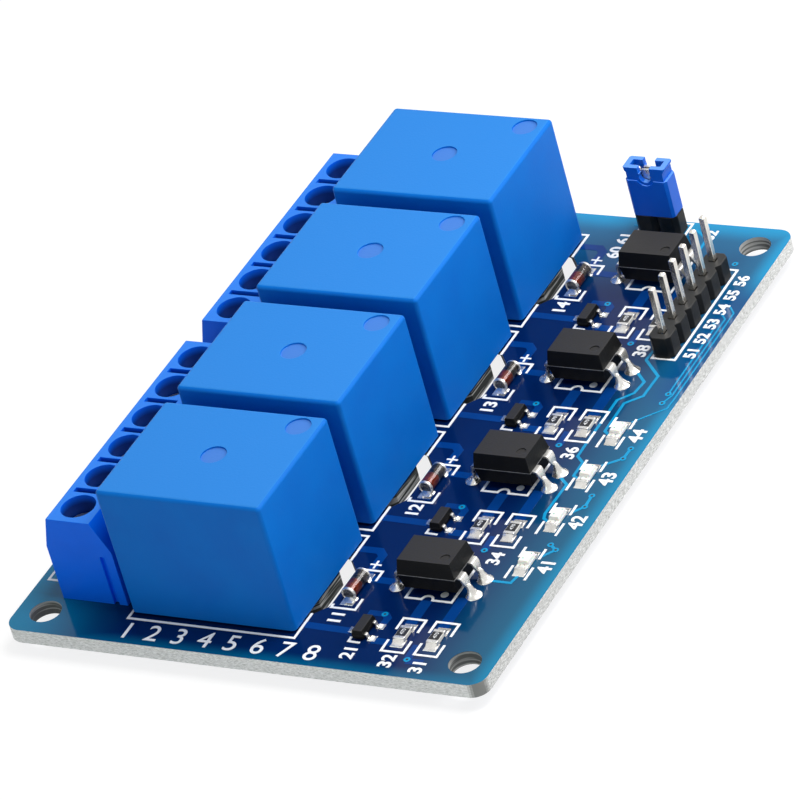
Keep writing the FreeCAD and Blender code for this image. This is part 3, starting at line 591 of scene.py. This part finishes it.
def block(bm, x, y, z0, z1, length_x, length_y, taper=0.0):
    """Box on a middle place; its top is smaller by the taper on every side."""
    made = bmesh.ops.create_cube(bm, size=1.0)["verts"]
    bmesh.ops.scale(bm, vec=(length_x, length_y, z1 - z0), verts=made)
    for vertex in made:
        if taper and vertex.co.z > 0:
            vertex.co.x -= math.copysign(taper, vertex.co.x)
            vertex.co.y -= math.copysign(taper, vertex.co.y)
    bmesh.ops.translate(bm, vec=(x, y, (z0 + z1) / 2), verts=made)
    return made


def disc(bm, x, y, radius, z0, z1, sides=24):
    made = bmesh.ops.create_cone(bm, cap_ends=True, segments=sides, radius1=radius,
                                 radius2=radius, depth=z1 - z0)["verts"]
    bmesh.ops.translate(bm, vec=(x, y, (z0 + z1) / 2), verts=made)
    return made


def grow(bm, edge):
    """Pulls a new edge out of an old one. Returns its two ends, the face between, and the new edge."""
    grown = bmesh.ops.extrude_edge_only(bm, edges=[edge])["geom"]
    ends = [g for g in grown if isinstance(g, bmesh.types.BMVert)]
    faces = [g for g in grown if isinstance(g, bmesh.types.BMFace)]
    edges = [g for g in grown if isinstance(g, bmesh.types.BMEdge) and all(v in ends for v in g.verts)]
    return ends, faces, edges[0]


def spin(bm, points, axis, steps):
    """Turns a line of points all the way round an axis. Returns the corners made."""
    before = set(bm.verts)
    line = [bm.verts.new(point) for point in points]
    edges = [bm.edges.new(pair) for pair in zip(line, line[1:])]
    bmesh.ops.spin(bm, geom=line + edges, cent=(0, 0, 0), axis=axis, angle=2 * math.pi, steps=steps,
                   use_merge=True, use_duplicate=False)
    return [vertex for vertex in bm.verts if vertex not in before]


def stroke(bm, points, width, z0, z1):
    """Flat line with mitred corners: an edge drawn along the path, then given its thickness."""
    path = [Vector(point) for point in points]
    closed = (path[0] - path[-1]).length < 0.001
    if closed:
        path.pop()
    last = len(path) - 1

    def reach(i):
        """From the middle of the line to its left side at a corner."""
        before = path[i] - path[i - 1] if closed or i > 0 else path[1] - path[0]
        after = path[(i + 1) % len(path)] - path[i] if closed or i < last else before
        left, ahead = before.orthogonal().normalized(), after.orthogonal().normalized()
        mitre = (left + ahead).normalized()
        return mitre * (width / 2 / max(0.5, mitre.dot(ahead)))

    made = [bm.verts.new((*(path[0] + sign * reach(0)), z0)) for sign in (1, -1)]
    first = edge = bm.edges.new(made)
    faces = []
    for i in range(1, len(path)):
        from_left = path[i - 1] + reach(i - 1)
        from_right = path[i - 1] - reach(i - 1)
        fresh, wall, edge = grow(bm, edge)
        for vertex in fresh:
            is_left = (vertex.co.xy - from_left).length < (vertex.co.xy - from_right).length
            vertex.co = (*(path[i] + (reach(i) if is_left else -reach(i))), z0)
        made += fresh
        faces += wall
    if closed:
        faces += bmesh.ops.contextual_create(bm, geom=[first, edge])["faces"]
    before = set(bm.verts)
    bmesh.ops.solidify(bm, geom=faces, thickness=z1 - z0)
    for vertex in made:
        vertex.co.z = z0
    for vertex in bm.verts:
        if vertex not in before:
            vertex.co.z = z1


def lathe(bm, profile, x, y, z, steps=24, lean=0.0):
    """Round form turned about an upright axis from (radius, height) points. It may lean along X."""
    for vertex in spin(bm, [(radius, 0, height) for radius, height in profile], (0, 0, 1), steps):
        vertex.co.x += lean * vertex.co.z
        vertex.co += Vector((x, y, z))


def strip(bm, path, thickness, matrix):
    """Sheet-metal strip bent along (out, up, width) points, then put in place by a matrix."""
    out, up, width = path[0]
    verts = [bm.verts.new((out, -width / 2, up)), bm.verts.new((out, width / 2, up))]
    edge = bm.edges.new(verts)
    faces = []
    for out, up, width in path[1:]:
        fresh, sheet, edge = grow(bm, edge)
        faces += sheet
        for vertex in fresh:
            vertex.co = Vector((out, math.copysign(width / 2, vertex.co.y), up))
        verts += fresh
    wall = bmesh.ops.solidify(bm, geom=faces, thickness=thickness)["geom"]
    verts = list(set(verts) | {g for g in wall if isinstance(g, bmesh.types.BMVert)})
    bmesh.ops.transform(bm, matrix=matrix, verts=verts)


def join(bm, patch):
    """Adds a drawn patch to a mesh."""
    held = bpy.data.meshes.new("patch")
    patch.to_mesh(held)
    patch.free()
    bm.from_mesh(held)
    bpy.data.meshes.remove(held)


def close_seams(bm):
    """Closes seams and turns every face outwards."""
    bmesh.ops.remove_doubles(bm, verts=bm.verts, dist=0.001)
    bmesh.ops.recalc_face_normals(bm, faces=bm.faces)


# Printed marks and tracks. Each track is a layer over the last, so that no two share a surface

ink_top = top + 0.05
ink_line = 0.27
track_top = top + 0.02
layer = 0.002


def arc(x, y, radius, start_angle, end_angle):
    """Points of an arc, its angles in degrees."""
    steps = 10
    turn = math.radians(end_angle - start_angle) / steps
    first = math.radians(start_angle)
    return [(x + radius * math.cos(first + i * turn), y + radius * math.sin(first + i * turn))
            for i in range(steps + 1)]


def printed_marks():
    bm = bmesh.new()

    def mark(points, width=ink_line, height=ink_top):
        stroke(bm, points, width, top, height)

    for row in rows:
        left, right, near, far = -14.67, relay_end + 0.12, row - 8.27, row + 8.27
        mark([(right, row - 4.3), (right, near), (left, near),
              (left, far), (right, far), (right, row + 4.25)])
        mark([(6.2, row - 2.5), (6.2, row - 3.05), (8.93, row - 3.05), (8.93, row - 1.3)])
        mark([(6.6, row + 3.15), (8.93, row + 3.15), (8.93, row + 1.6)])
        mark([(7.07, row + 4.07), (8.33, row + 4.07)], 0.22)
        mark([(7.7, row + 3.44), (7.7, row + 4.7)], 0.22, ink_top + 0.004)
        mark([(10.6, row - 7.06), (10.6, row - 7.76), (11.91, row - 7.81)])
        for x in resistor_columns:
            left, right, near, far = x - 1.28, x + 1.25, row - 8.55, row - 3.4
            mark([(left, far - 1.75), (left, far), (right, far), (right, far - 1.95)])
            mark([(left, near + 1.75), (left, near), (right, near), (right, near + 1.85)])
        left, right, near, far = 13.3, 18.5, row - 0.3, row + 5.3
        notch = arc(15.72, near, 0.62, 180, 0)
        mark([(left, far), (left, near)] + notch + [(right, near), (right, far), (left, far)])
        disc(bm, 17.2, row + 0.75, 0.42, top, ink_top, 20)
    for y in lamp_rows:
        for x in (lamp_x - 1.25, lamp_x + 1.0):
            mark([(x, y + 0.9), (x, y + 2.55)])
            mark([(x, y - 0.45), (x, y - 2.5)])
    left, right = 21.48, 24.1
    near, far = input_pins[0].y - 1.35, input_pins[-1].y + 1.8
    mark([(left, near + 1.0), (left, near), (right, near), (right, far), (left, far)])
    jumper_x, jumper_y = middle("jumper_header_body").x, middle("jumper_header_body").y
    left, right, near, far = jumper_x - 2.8, jumper_x + 2.8, jumper_y - 1.5, jumper_y + 1.4
    mark([(left, near), (right, near), (right, far), (left, far), (left, near)])
    for number in (1, 2):
        low, high = box(f"terminal_block_{number}")
        front, near, far = low.x - 3.2, low.y + 2.55, high.y - 2.55
        mark([(low.x - 0.1, near), (front, near), (front, far), (low.x - 0.1, far)])
    close_seams(bm)
    finish_piece("printed_marks", bm, ink)


def text_on(bm, text, x, y, z0, height, turn, thickness, weight):
    """Adds plain raised numbers that start at a place and read along a direction in the board's plane. The
    weight thickens their strokes."""
    size_for_height = 1.4
    letters = bpy.data.curves.new("numeral", "FONT")
    letters.body = text
    letters.size = height * size_for_height
    letters.extrude = thickness / 2
    letters.offset = weight
    letters.resolution_u = 4
    holder = bpy.data.objects.new("numeral", letters)
    flat = bpy.data.meshes.new_from_object(holder)
    flat.transform(placed(x, y, z0 + thickness / 2, turn))
    bm.from_mesh(flat)
    bpy.data.objects.remove(holder)
    bpy.data.curves.remove(letters)
    bpy.data.meshes.remove(flat)


def numerals():
    """Plain numbers where the board carries its lettering, read along the board's long side."""
    bm = bmesh.new()
    upward, label, small = 90, 1.45, 1.3

    def number(text, x, y, height=label, turn=upward, weight=0.055):
        text_on(bm, str(text), x, y, top, height, turn, ink_top - top, weight)

    for i, y in enumerate(lamp_rows):
        number(41 + i, 26.45, y - 1.15, 1.55)
    for i, pin in enumerate(sorted(input_pins, key=lambda p: p.y)):
        number(51 + i, 26.0, pin.y - 0.85, small)
    for i, row in enumerate(rows):
        number(11 + i, 8.2, row - 5.5)
        if i == 0:
            number(21, 12.15, row - 10.4)
            number(32, 16.75, row - 11.0)
            number(31, 20.35, row - 11.3)
        else:
            number(21 + i, 11.7, row + 6.3, 1.2)
            number(32 + 2 * i, 20.5, row - 11.5)
    number("60 61", 9.75, 30.9)
    number(62, 19.0, 35.3, small)
    for n in range(1, 9):
        number(n, -17.6 + 3.05 * n, -37.5, 2.4, 0, 0.0)
    finish_piece("printed_numbers", bm, ink)


def copper_tracks():
    """Wide tracks of each driver channel, lifted a little under the mask."""
    bm = bmesh.new()
    wide, plain = 1.25, 0.95
    routes = []
    for row in rows:
        def at(*points):
            return [(x, row + y) for x, y in points]
        routes += [(at((relay_end - 0.6, -6.05), (10.0, -6.2)), plain),
                   (at((10.5, -3.15), (12.5, -3.15), (13.0, -3.7), (12.9, -4.9)), 0.8),
                   (at((13.0, -7.2), (15.9, -7.25)), plain),
                   (at((relay_end - 0.6, 6.25), (7.05, 6.25), (7.7, 5.6), (7.6, 2.3)), plain),
                   (at((8.2, 1.9), (12.1, 1.8)), plain),
                   (at((15.8, -0.4), (15.8, -4.4)), wide),
                   (at((19.45, 0.6), (19.45, -4.4)), wide),
                   (at((18.05, -7.1), (18.05, -9.6)), 0.9)]
    routes.append(([(18.05, rows[0] - 9.6), (19.9, rows[0] - 9.6)], 0.9))
    for i, (points, width) in enumerate(routes):
        stroke(bm, points, width, top, track_top + layer * (i % 4))
    close_seams(bm)
    finish_piece("copper_tracks", bm, copper_mask, edge=0.025)


def fine_tracks():
    """Fine signal tracks and their plated holes along the board's right side, finest in the long bundle; the
    holes' dark middles are painted shade.
    """
    bm = bmesh.new()
    fine, finest = 0.34, 0.2
    routes = [
        [(20.6, 12.6), (22.45, 10.8), (22.2, 8.85), (20.88, 7.45), (20.85, 0.2), (20.9, -2.1), (21.9, -3.0),
         (21.92, -5.2), (22.6, -5.6)],
        [(21.1, 16.6), (20.98, 14.4), (23.5, 11.95), (23.4, 8.5), (21.88, 7.05), (21.92, 2.3), (22.6, 1.8)],
        [(24.1, 4.1), (25.75, 5.8), (26.85, 6.85), (26.95, 8.5), (26.95, 23.4), (26.1, 24.4)],
        [(25.95, 9.2), (25.95, 21.0), (25.2, 21.8)],
        [(25.95, 7.65), (26.45, 9.0), (26.45, 22.3), (25.6, 23.2)],
        [(24.1, -3.2), (25.9, -1.75), (26.0, -0.05)],
        [(24.4, -10.95), (25.4, -9.85), (25.35, -8.05)],
        [(24.5, -18.15), (25.5, -16.9), (24.6, -16.2)],
        [(19.9, -5.1), (20.85, -5.85), (21.85, -6.7), (21.7, -11.5), (21.95, -12.3), (22.6, -12.7)],
        [(19.9, -22.5), (21.0, -22.6), (23.2, -22.6), (23.45, -21.4)],
        [(9.0, 37.0), (16.4, 37.0), (18.3, 35.6), (18.3, 32.6)],
    ]
    bundle_x, bundle_y = 25.8, 20.0
    for i, route in enumerate(routes):
        bundled = max(x for x, y in route) > bundle_x and max(y for x, y in route) > bundle_y
        stroke(bm, route, finest if bundled else fine, top, track_top + layer * (4 + i % 4))
    holes = [(25.95, 9.2), (25.95, 7.65), (25.9, -1.75), (26.0, -0.05), (25.4, -9.85), (25.35, -8.05),
             (25.5, -16.9), (24.6, -16.2), (23.35, 31.7)]
    holes += [(18.05, row - 9.4) for row in rows] + [(12.4, row - 3.15) for row in rows]
    ring_top = track_top + 0.02
    for x, y in holes:
        disc(bm, x, y, 0.36, top, ring_top, 16)
    close_seams(bm)
    finish_piece("fine_tracks", bm, fine_mask, edge=0.02)
    # Black discs in the middle of the rings stand for the open holes: painted shade.
    bm = bmesh.new()
    for x, y in holes:
        disc(bm, x, y, 0.14, top, ring_top + 0.006, 12)
    finish_piece("plated_hole_shade", bm, glaze)


def pads():
    """Tinned pads under the small parts."""
    bm = bmesh.new()
    pad_top, taper = top + 0.045, 0.03
    for row in rows:
        for y, length in ((-1.95, 1.05), (2.1, 1.15)):
            block(bm, 7.6, row + y, top, pad_top, 1.46, length, taper)
        for x, y in ((10.25, 0.0), (12.9, 0.95), (12.9, -0.95)):
            block(bm, x, row + chip_y + y, top, pad_top, 0.85, 0.85, taper)
    for x, y in resistor_places:
        for side in (-1, 1):
            block(bm, x, y + side * 1.2, top, pad_top, 1.4, 1.25, taper)
    for y in lamp_rows:
        for side in (-1, 1):
            block(bm, lamp_x, y + side * 1.45, top, pad_top, 1.35, 1.1, taper)
    finish_piece("tinned_pads", bm, solder)


# Small parts

def wedge(bm, x, y, z0, height, width, reach, direction):
    """Solder fillet: high at the part, slumping to a thin edge along a direction in the board's plane."""
    slump, dropped_flanks, narrowing, thin_edge = 1.6, 0.25, 0.12, 0.03
    patch = bmesh.new()
    block(patch, 0, 0, 0, height, width, reach)
    bmesh.ops.subdivide_edges(patch, edges=patch.edges, cuts=3, use_grid_fill=True)
    for vertex in patch.verts:
        along = min(1.0, max(0.0, vertex.co.y / reach + 0.5))
        rise = vertex.co.z / height
        side = abs(vertex.co.x) / (width / 2)
        domed = (1 - along) ** slump * (1 - dropped_flanks * side ** 4)
        vertex.co.z = rise * (height * domed + thin_edge)
        vertex.co.x *= 1 - narrowing * along
    bmesh.ops.transform(patch, matrix=placed(x, y, z0, direction - 90), verts=patch.verts)
    join(bm, patch)


def resistors():
    """Chip resistors: ceramic block, black glaze with white digits, wrapped tinned ends, and solder."""
    bodies, glazes, ends, joints, digits = (bmesh.new() for _ in range(5))
    size = resistor_size
    end_length = 0.4
    glaze_top = top + size.z + 0.03
    glaze_length = size.y - 2 * end_length + 0.08
    for x, y in resistor_places:
        block(bodies, x, y, top + 0.06, top + size.z, size.x - 0.04, size.y - 0.06)
        block(glazes, x, y, top + size.z - 0.02, glaze_top, size.x - 0.1, glaze_length, 0.03)
        text_on(digits, "470", x + 0.2, y - 0.4, glaze_top, 0.42, 90, 0.01, 0.0)
        for side in (-1, 1):
            middle_y = y + side * (size.y - end_length) / 2
            block(ends, x, middle_y, top + 0.04, top + size.z + 0.035, size.x, end_length)
            wedge(joints, x, y + side * (size.y / 2 + 0.3), top, size.z * 0.85, size.x, 0.65, side * 90)
    body = finish_piece("resistor_bodies", bodies, ceramic, edge=0.04)
    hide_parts("resistors")
    finish_piece("resistor_glazes", glazes, glaze, edge=0.02)
    finish_piece("resistor_digits", digits, ink)
    finish_piece("resistor_ends", ends, tinned, edge=0.06)
    finish_piece("resistor_solder", joints, solder, crease=60)


def transistors():
    """Moulded bodies drafted from the parting line, gull-wing leads and their solder."""
    bodies, leads, joints = (bmesh.new() for _ in range(3))
    length_x, length_y, z0, parting, z1 = 1.3, 2.9, top + 0.1, top + 0.55, top + 1.1
    foot = [(0.6, 0.58, 0.42), (0.78, 0.58, 0.42), (0.88, 0.54, 0.42), (0.92, 0.44, 0.42), (0.95, 0.2, 0.42),
            (1.0, 0.12, 0.42), (1.1, 0.09, 0.42), (1.4, 0.09, 0.42)]
    for row in rows:
        x, y = transistor_x, row + chip_y
        block(bodies, x, y, parting, z1, length_x, length_y, 0.12)
        lower = block(bodies, x, y, z0, parting, length_x, length_y)
        for vertex in lower:
            if vertex.co.z < z0 + 0.01:
                vertex.co.x -= math.copysign(0.07, vertex.co.x - x)
                vertex.co.y -= math.copysign(0.07, vertex.co.y - y)
        for dy, turn in ((-0.95, 0), (0.95, 0), (0.0, 180)):
            strip(leads, foot, 0.12, placed(x, y + dy, top, turn))
            side = 1 if turn == 0 else -1
            wedge(joints, x + side * 1.48, y + dy, top, 0.2, 0.62, 0.42, turn)
            block(joints, x + side * 1.12, y + dy, top, top + 0.11, 0.5, 0.56, 0.08)
    close_seams(leads)
    body = finish_piece("transistor_bodies", bodies, epoxy, edge=0.05)
    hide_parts("transistors")
    finish_piece("transistor_leads", leads, tinned, edge=0.02)
    finish_piece("transistor_solder", joints, solder, crease=60)


def turned_along_y(bm, profile, x, y, z):
    """Round form turned about a line along Y, from (distance along, radius) points."""
    made = spin(bm, [(radius, along, 0) for along, radius in profile], (0, 1, 0), steps=28)
    bmesh.ops.translate(bm, vec=(x, y, z), verts=made)


def diodes():
    """Glass diodes: cupped end caps, a clear tube, a copper-clad near stud, and the dark die, with the far
    stud drawn in the die's dark tone.
    """
    caps, faces, tubes, studs, dies, joints = (bmesh.new() for _ in range(6))
    low, high = box("diodes")
    cap_radius = (high.z - low.z) / 2
    tube_radius, half, cap_length = 0.76, 1.75, 0.3
    inner = half - cap_length
    tube_form = [(-inner - 0.02, 0.0), (-inner - 0.02, tube_radius), (inner + 0.02, tube_radius),
                 (inner + 0.02, 0.0)]
    stud_form = [(-inner, 0.0), (-inner, 0.56), (-0.1, 0.56), (0.12, 0.5), (0.24, 0.38), (0.24, 0.0)]
    dark_die_and_far_stud = [(0.25, 0.0), (0.25, 0.34), (0.5, 0.36), (0.62, 0.5), (inner, 0.54), (inner, 0.0)]
    z = top + cap_radius
    for row in rows:
        for side in (-1, 1):
            rim, face = side * inner, side * half
            turned_along_y(caps, [(rim, 0.0), (rim, cap_radius - 0.03), (rim + side * 0.04, cap_radius),
                                  (face - side * 0.08, cap_radius), (face, cap_radius - 0.06),
                                  (face, cap_radius - 0.13), (face - side * 0.07, cap_radius - 0.19),
                                  (face - side * 0.07, 0.0)], diode_x, row, z)
            turned_along_y(faces, [(face - side * 0.1, 0.0), (face - side * 0.1, cap_radius - 0.2),
                                   (face - side * 0.06, cap_radius - 0.2), (face - side * 0.03, 0.3),
                                   (face - side * 0.05, 0.0)], diode_x, row, z)
            wedge(joints, diode_x, row + side * (half + 0.2), top, 0.42, 1.05, 0.55, side * 90)
            for flank in (-1, 1):
                wedge(joints, diode_x + flank * 0.62, row + side * (half - 0.28), top, 0.38, 0.5, 0.3,
                      0 if flank > 0 else 180)
        for bm, profile in ((tubes, tube_form), (studs, stud_form), (dies, dark_die_and_far_stud)):
            turned_along_y(bm, profile, diode_x, row, z)
    for bm in (caps, faces, tubes, studs, dies):
        close_seams(bm)
    tube = finish_piece("diode_tubes", tubes, glass)
    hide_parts("diodes")
    finish_piece("diode_caps", caps, tinned)
    finish_piece("diode_faces", faces, tin_face)
    finish_piece("diode_studs", studs, stud)
    finish_piece("diode_dies", dies, die)
    finish_piece("diode_solder", joints, solder, crease=60)


def indicator_lamps():
    """Chip lamps: carrier, milky lens over its far two thirds, plated ends, solder and cathode mark."""
    carriers, lenses, ends, joints, marks = (bmesh.new() for _ in range(5))
    size = lamp_size
    lens_length = 1.75
    for y in lamp_rows:
        block(carriers, lamp_x, y, top + 0.05, top + 0.38, size.x, size.y)
        lens_y = y + (size.y - lens_length) / 2 - 0.12
        block(lenses, lamp_x, lens_y, top + 0.36, top + size.z, size.x - 0.02, lens_length, 0.1)
        for side in (-1, 1):
            end_y = y + side * (size.y / 2 - 0.17)
            block(ends, lamp_x, end_y, top + 0.03, top + 0.41, size.x + 0.02, 0.36)
            wedge(joints, lamp_x, y + side * (size.y / 2 + 0.3), top, 0.36, size.x, 0.62, side * 90)
        lathe(ends, [(0.22, 0.0), (0.36, 0.0), (0.36, 0.07), (0.3, 0.09), (0.22, 0.06), (0.22, 0.0)], lamp_x,
              y - size.y / 2 + 0.5, top + 0.36, 16)
        for dx, dy in ((0.4, 0.5), (-0.15, -0.35)):
            disc(marks, lamp_x + dx, lens_y + dy, 0.08, top + size.z - 0.01, top + size.z + 0.01, 10)
    close_seams(ends)
    carrier = finish_piece("lamp_carriers", carriers, lens, edge=0.04)
    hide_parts("indicator_lamps")
    finish_piece("lamp_lenses", lenses, lens, edge=0.09, segments=3)
    finish_piece("lamp_ends", ends, tinned, edge=0.04)
    finish_piece("lamp_solder", joints, solder, crease=60)
    finish_piece("lamp_marks", marks, green)


def optocouplers():
    """Moulded bodies with a thin flash at the parting line, leads that spread to the board, and solder."""
    dress("optocoupler_bodies", epoxy, edge=0.06)
    leads, joints, seams = bmesh.new(), bmesh.new(), bmesh.new()
    low, high = box("optocoupler_bodies")
    parting = (low.z + high.z) / 2
    level = parting - top
    body_width = high.y - low.y - (rows[-1] - rows[0])
    bend, foot = 3.81, 4.35
    lean = (foot - bend) / level
    side_x = opto_half_length - 0.1
    path = [(side_x, level, 1.2), (bend - 0.26, level, 1.2), (bend - 0.08, level - 0.06, 1.2),
            (bend + 0.02, level - 0.22, 1.2), (bend + 0.55 * lean, level - 0.55, 1.16),
            (bend + 0.95 * lean, level - 0.95, 0.95), (bend + 1.2 * lean, level - 1.2, 0.66),
            (bend + 1.5 * lean, level - 1.5, 0.5), (foot, 0.0, 0.5), (foot, -top, 0.46)]
    tall = [(0.0, 1.5), (0.16, 1.46), (0.27, 1.2), (0.33, 0.9), (0.42, 0.6), (0.56, 0.34), (0.74, 0.14),
            (0.86, 0.04), (0.88, 0.0), (0.0, 0.0)]
    flat = [(0.0, 0.9), (0.14, 0.86), (0.22, 0.6), (0.34, 0.32), (0.56, 0.15), (0.78, 0.07), (0.84, 0.0),
            (0.0, 0.0)]
    for x, y in opto_places:
        block(seams, x, y, parting - 0.03, parting + 0.03, 2 * opto_half_length + 0.05, body_width + 0.05)
        for side, turn, profile in ((1, 0, tall), (-1, 180, flat)):
            for dy in (-1.27, 1.27):
                strip(leads, path, 0.25, placed(x, y + dy, top, turn))
                lathe(joints, profile, x + side * foot, y + dy, top, 24, -side * lean)
    close_seams(leads)
    close_seams(joints)
    lead = finish_piece("optocoupler_lead_forms", leads, tinned, edge=0.04)
    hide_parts("optocoupler_leads")
    # The flash carries a painted highlight along the parting line.
    finish_piece("optocoupler_flash", seams, flash)
    cone = finish_piece("optocoupler_solder", joints, solder, crease=60)
    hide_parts("solder_joints")


def underside():
    """Solder cones round every trimmed lead, and the wide tracks to the terminals."""
    bm = bmesh.new()
    heavy = ("relay_yokes", "relay_fixed_contacts", "terminal_pins")
    light = ("relay_coil_pins", "input_header_pins", "jumper_header_pins", "optocoupler_leads")
    pins = [(end, 1.25) for name in heavy for end in lead_ends(name)]
    pins += [(end, 0.85) for name in light for end in lead_ends(name)]
    climbed = 0.62
    reach = under * climbed
    for end, radius in pins:
        lathe(bm, [(0.0, -reach), (0.25, -reach), (0.42, -reach * 0.72), (0.55, -reach * 0.4),
                   (radius * 0.8, -reach * 0.12), (radius, 0.0), (0.0, 0.0)], end.x, end.y, under)
    close_seams(bm)
    finish_piece("underside_solder", bm, solder, crease=60)
    bm = bmesh.new()
    below = under - 0.035
    terminals, contacts, commons = (sorted(lead_ends(name), key=lambda p: p.y) for name in
                                    ("terminal_pins", "relay_fixed_contacts", "relay_yokes"))
    step = 0
    for n in range(len(rows)):
        near, common, far = terminals[3 * n:3 * n + 3]
        first, second = contacts[2 * n:2 * n + 2]
        for start_pin, end_pin, width in ((near, first, 2.6), (far, second, 2.6), (common, commons[n], 3.2)):
            step += 1
            turn_x = start_pin.x + 1.6
            stroke(bm, [(start_pin.x - 0.5, start_pin.y), (turn_x, start_pin.y), (end_pin.x - 0.6, end_pin.y),
                        (end_pin.x + 0.5, end_pin.y)], width, below - layer * (step % 4), under)
    leads = sorted(lead_ends("optocoupler_leads"), key=lambda p: (p.x, p.y))
    for pin in leads[len(leads) // 2:]:
        step += 1
        far_x, far_y = pin.x + 3.0, pin.y + 3.4
        stroke(bm, [(pin.x, pin.y), (pin.x + 2.2, pin.y), (far_x, pin.y + 0.8), (far_x, far_y)], 0.5,
               below - layer * (step % 4), under)
    close_seams(bm)
    finish_piece("underside_tracks", bm, under_mask, edge=0.025)


# The whole object

paint("circuit_board", mask)
for n in channels:
    dress(f"relay_cover_{n}", relay_blue, edge=0.06)
    dress(f"relay_base_{n}", base_blue, edge=0.08)
    paint(f"relay_armature_{n}", iron)
paint("relay_bobbins", nylon)
paint("relay_coils", copper)
for name in ("relay_cores", "relay_yokes"):
    paint(name, iron)
for name in ("relay_fixed_contacts", "relay_coil_pins", "terminal_pins"):
    paint(name, tinned)
for n in (1, 2):
    dress(f"terminal_block_{n}", terminal_blue, edge=0.07)
for n in poles:
    dress(f"terminal_screw_{n:02d}", zinc, edge=0.1)
    paint(f"terminal_clamp_{n:02d}", zinc)
for part, material, edge in (("body", header_plastic, 0.09), ("pins", pin_metal, 0.05)):
    for header in ("input_header", "jumper_header"):
        dress(f"{header}_{part}", material, edge=edge)
dress("jumper_cap", cap_blue, edge=0.07, segments=3)
dress("jumper_clip", tinned, edge=0.04)
printed_marks()
numerals()
copper_tracks()
fine_tracks()
pads()
resistors()
transistors()
diodes()
indicator_lamps()
optocouplers()
underside()


# Stage, light and camera

def floor():
    bm = bmesh.new()
    bmesh.ops.create_grid(bm, x_segments=1, y_segments=1, size=1500 * MM)
    mesh = bpy.data.meshes.new("studio_floor")
    bm.to_mesh(mesh)
    bm.free()
    mesh.materials.append(pale_floor())
    ground = new_object("studio_floor", mesh)


def towards(azimuth, elevation):
    """Unit vector from the board to a viewpoint, its angles in degrees: azimuth 0 is straight in front."""
    a, e = math.radians(azimuth), math.radians(elevation)
    return Vector((math.sin(a) * math.cos(e), -math.cos(a) * math.cos(e), math.sin(e)))


def soft_light(name, azimuth, elevation, distance, size, power, tint="#ffffff"):
    """Square soft light aimed at the board, placed as a camera would be."""
    light = bpy.data.lights.new(name, "AREA")
    light.size = size
    light.energy = power
    light.color = colour(tint)[:3]
    holder = new_object(name, light)
    back = towards(azimuth, elevation)
    holder.location = back * distance
    holder.rotation_euler = back.to_track_quat("Z", "Y").to_euler()


def studio():
    """White surroundings, a high light and a lower one from the right, and a faint one in front."""
    world = bpy.data.worlds.new("studio")
    bpy.context.scene.world = world
    world.use_nodes = True
    tree = world.node_tree
    dim = tree.nodes["Background"]
    dim.inputs["Color"].default_value = (1, 1, 1, 1)
    dim.inputs["Strength"].default_value = 0.3
    shown = add(tree, "ShaderNodeBackground", {"Color": (1, 1, 1, 1), "Strength": 1.0})
    whole = add(tree, "ShaderNodeMixShader", {0: seen_directly(tree), 1: dim, 2: shown})
    feed(tree, whole, tree.nodes["World Output"], "Surface")
    soft_light("high light", 90, 70, 0.27, 0.1, 0.51)
    soft_light("right light", 136, 38, 0.24, 0.13, 0.33)
    soft_light("front light", -15, 22, 0.8, 0.4, 0.66, "#e6fff6")


def camera():
    """Long lens from the front right, turned a little clockwise, as in the photograph."""
    azimuth, elevation, roll = 35.934, 33.493, math.radians(16.151)
    aim = Vector((-2.844, 4.05, 3.2)) * MM
    distance = 667.3 * MM
    back = towards(azimuth, elevation)
    level = towards(azimuth + 90, 0)
    upward = back.cross(level)
    right = level * math.cos(roll) - upward * math.sin(roll)
    up = upward * math.cos(roll) + level * math.sin(roll)
    lens_data = bpy.data.cameras.new("camera")
    lens_data.lens = 291.0
    lens_data.sensor_width = 36.0
    lens_data.clip_start = 0.01
    lens_data.clip_end = 10.0
    holder = new_object("camera", lens_data)
    pose = Matrix((right, up, back)).transposed().to_4x4()
    pose.translation = aim + back * distance
    holder.matrix_world = pose
    bpy.context.scene.camera = holder


floor()
studio()
camera()
bpy.context.scene.view_settings.view_transform = "Standard"
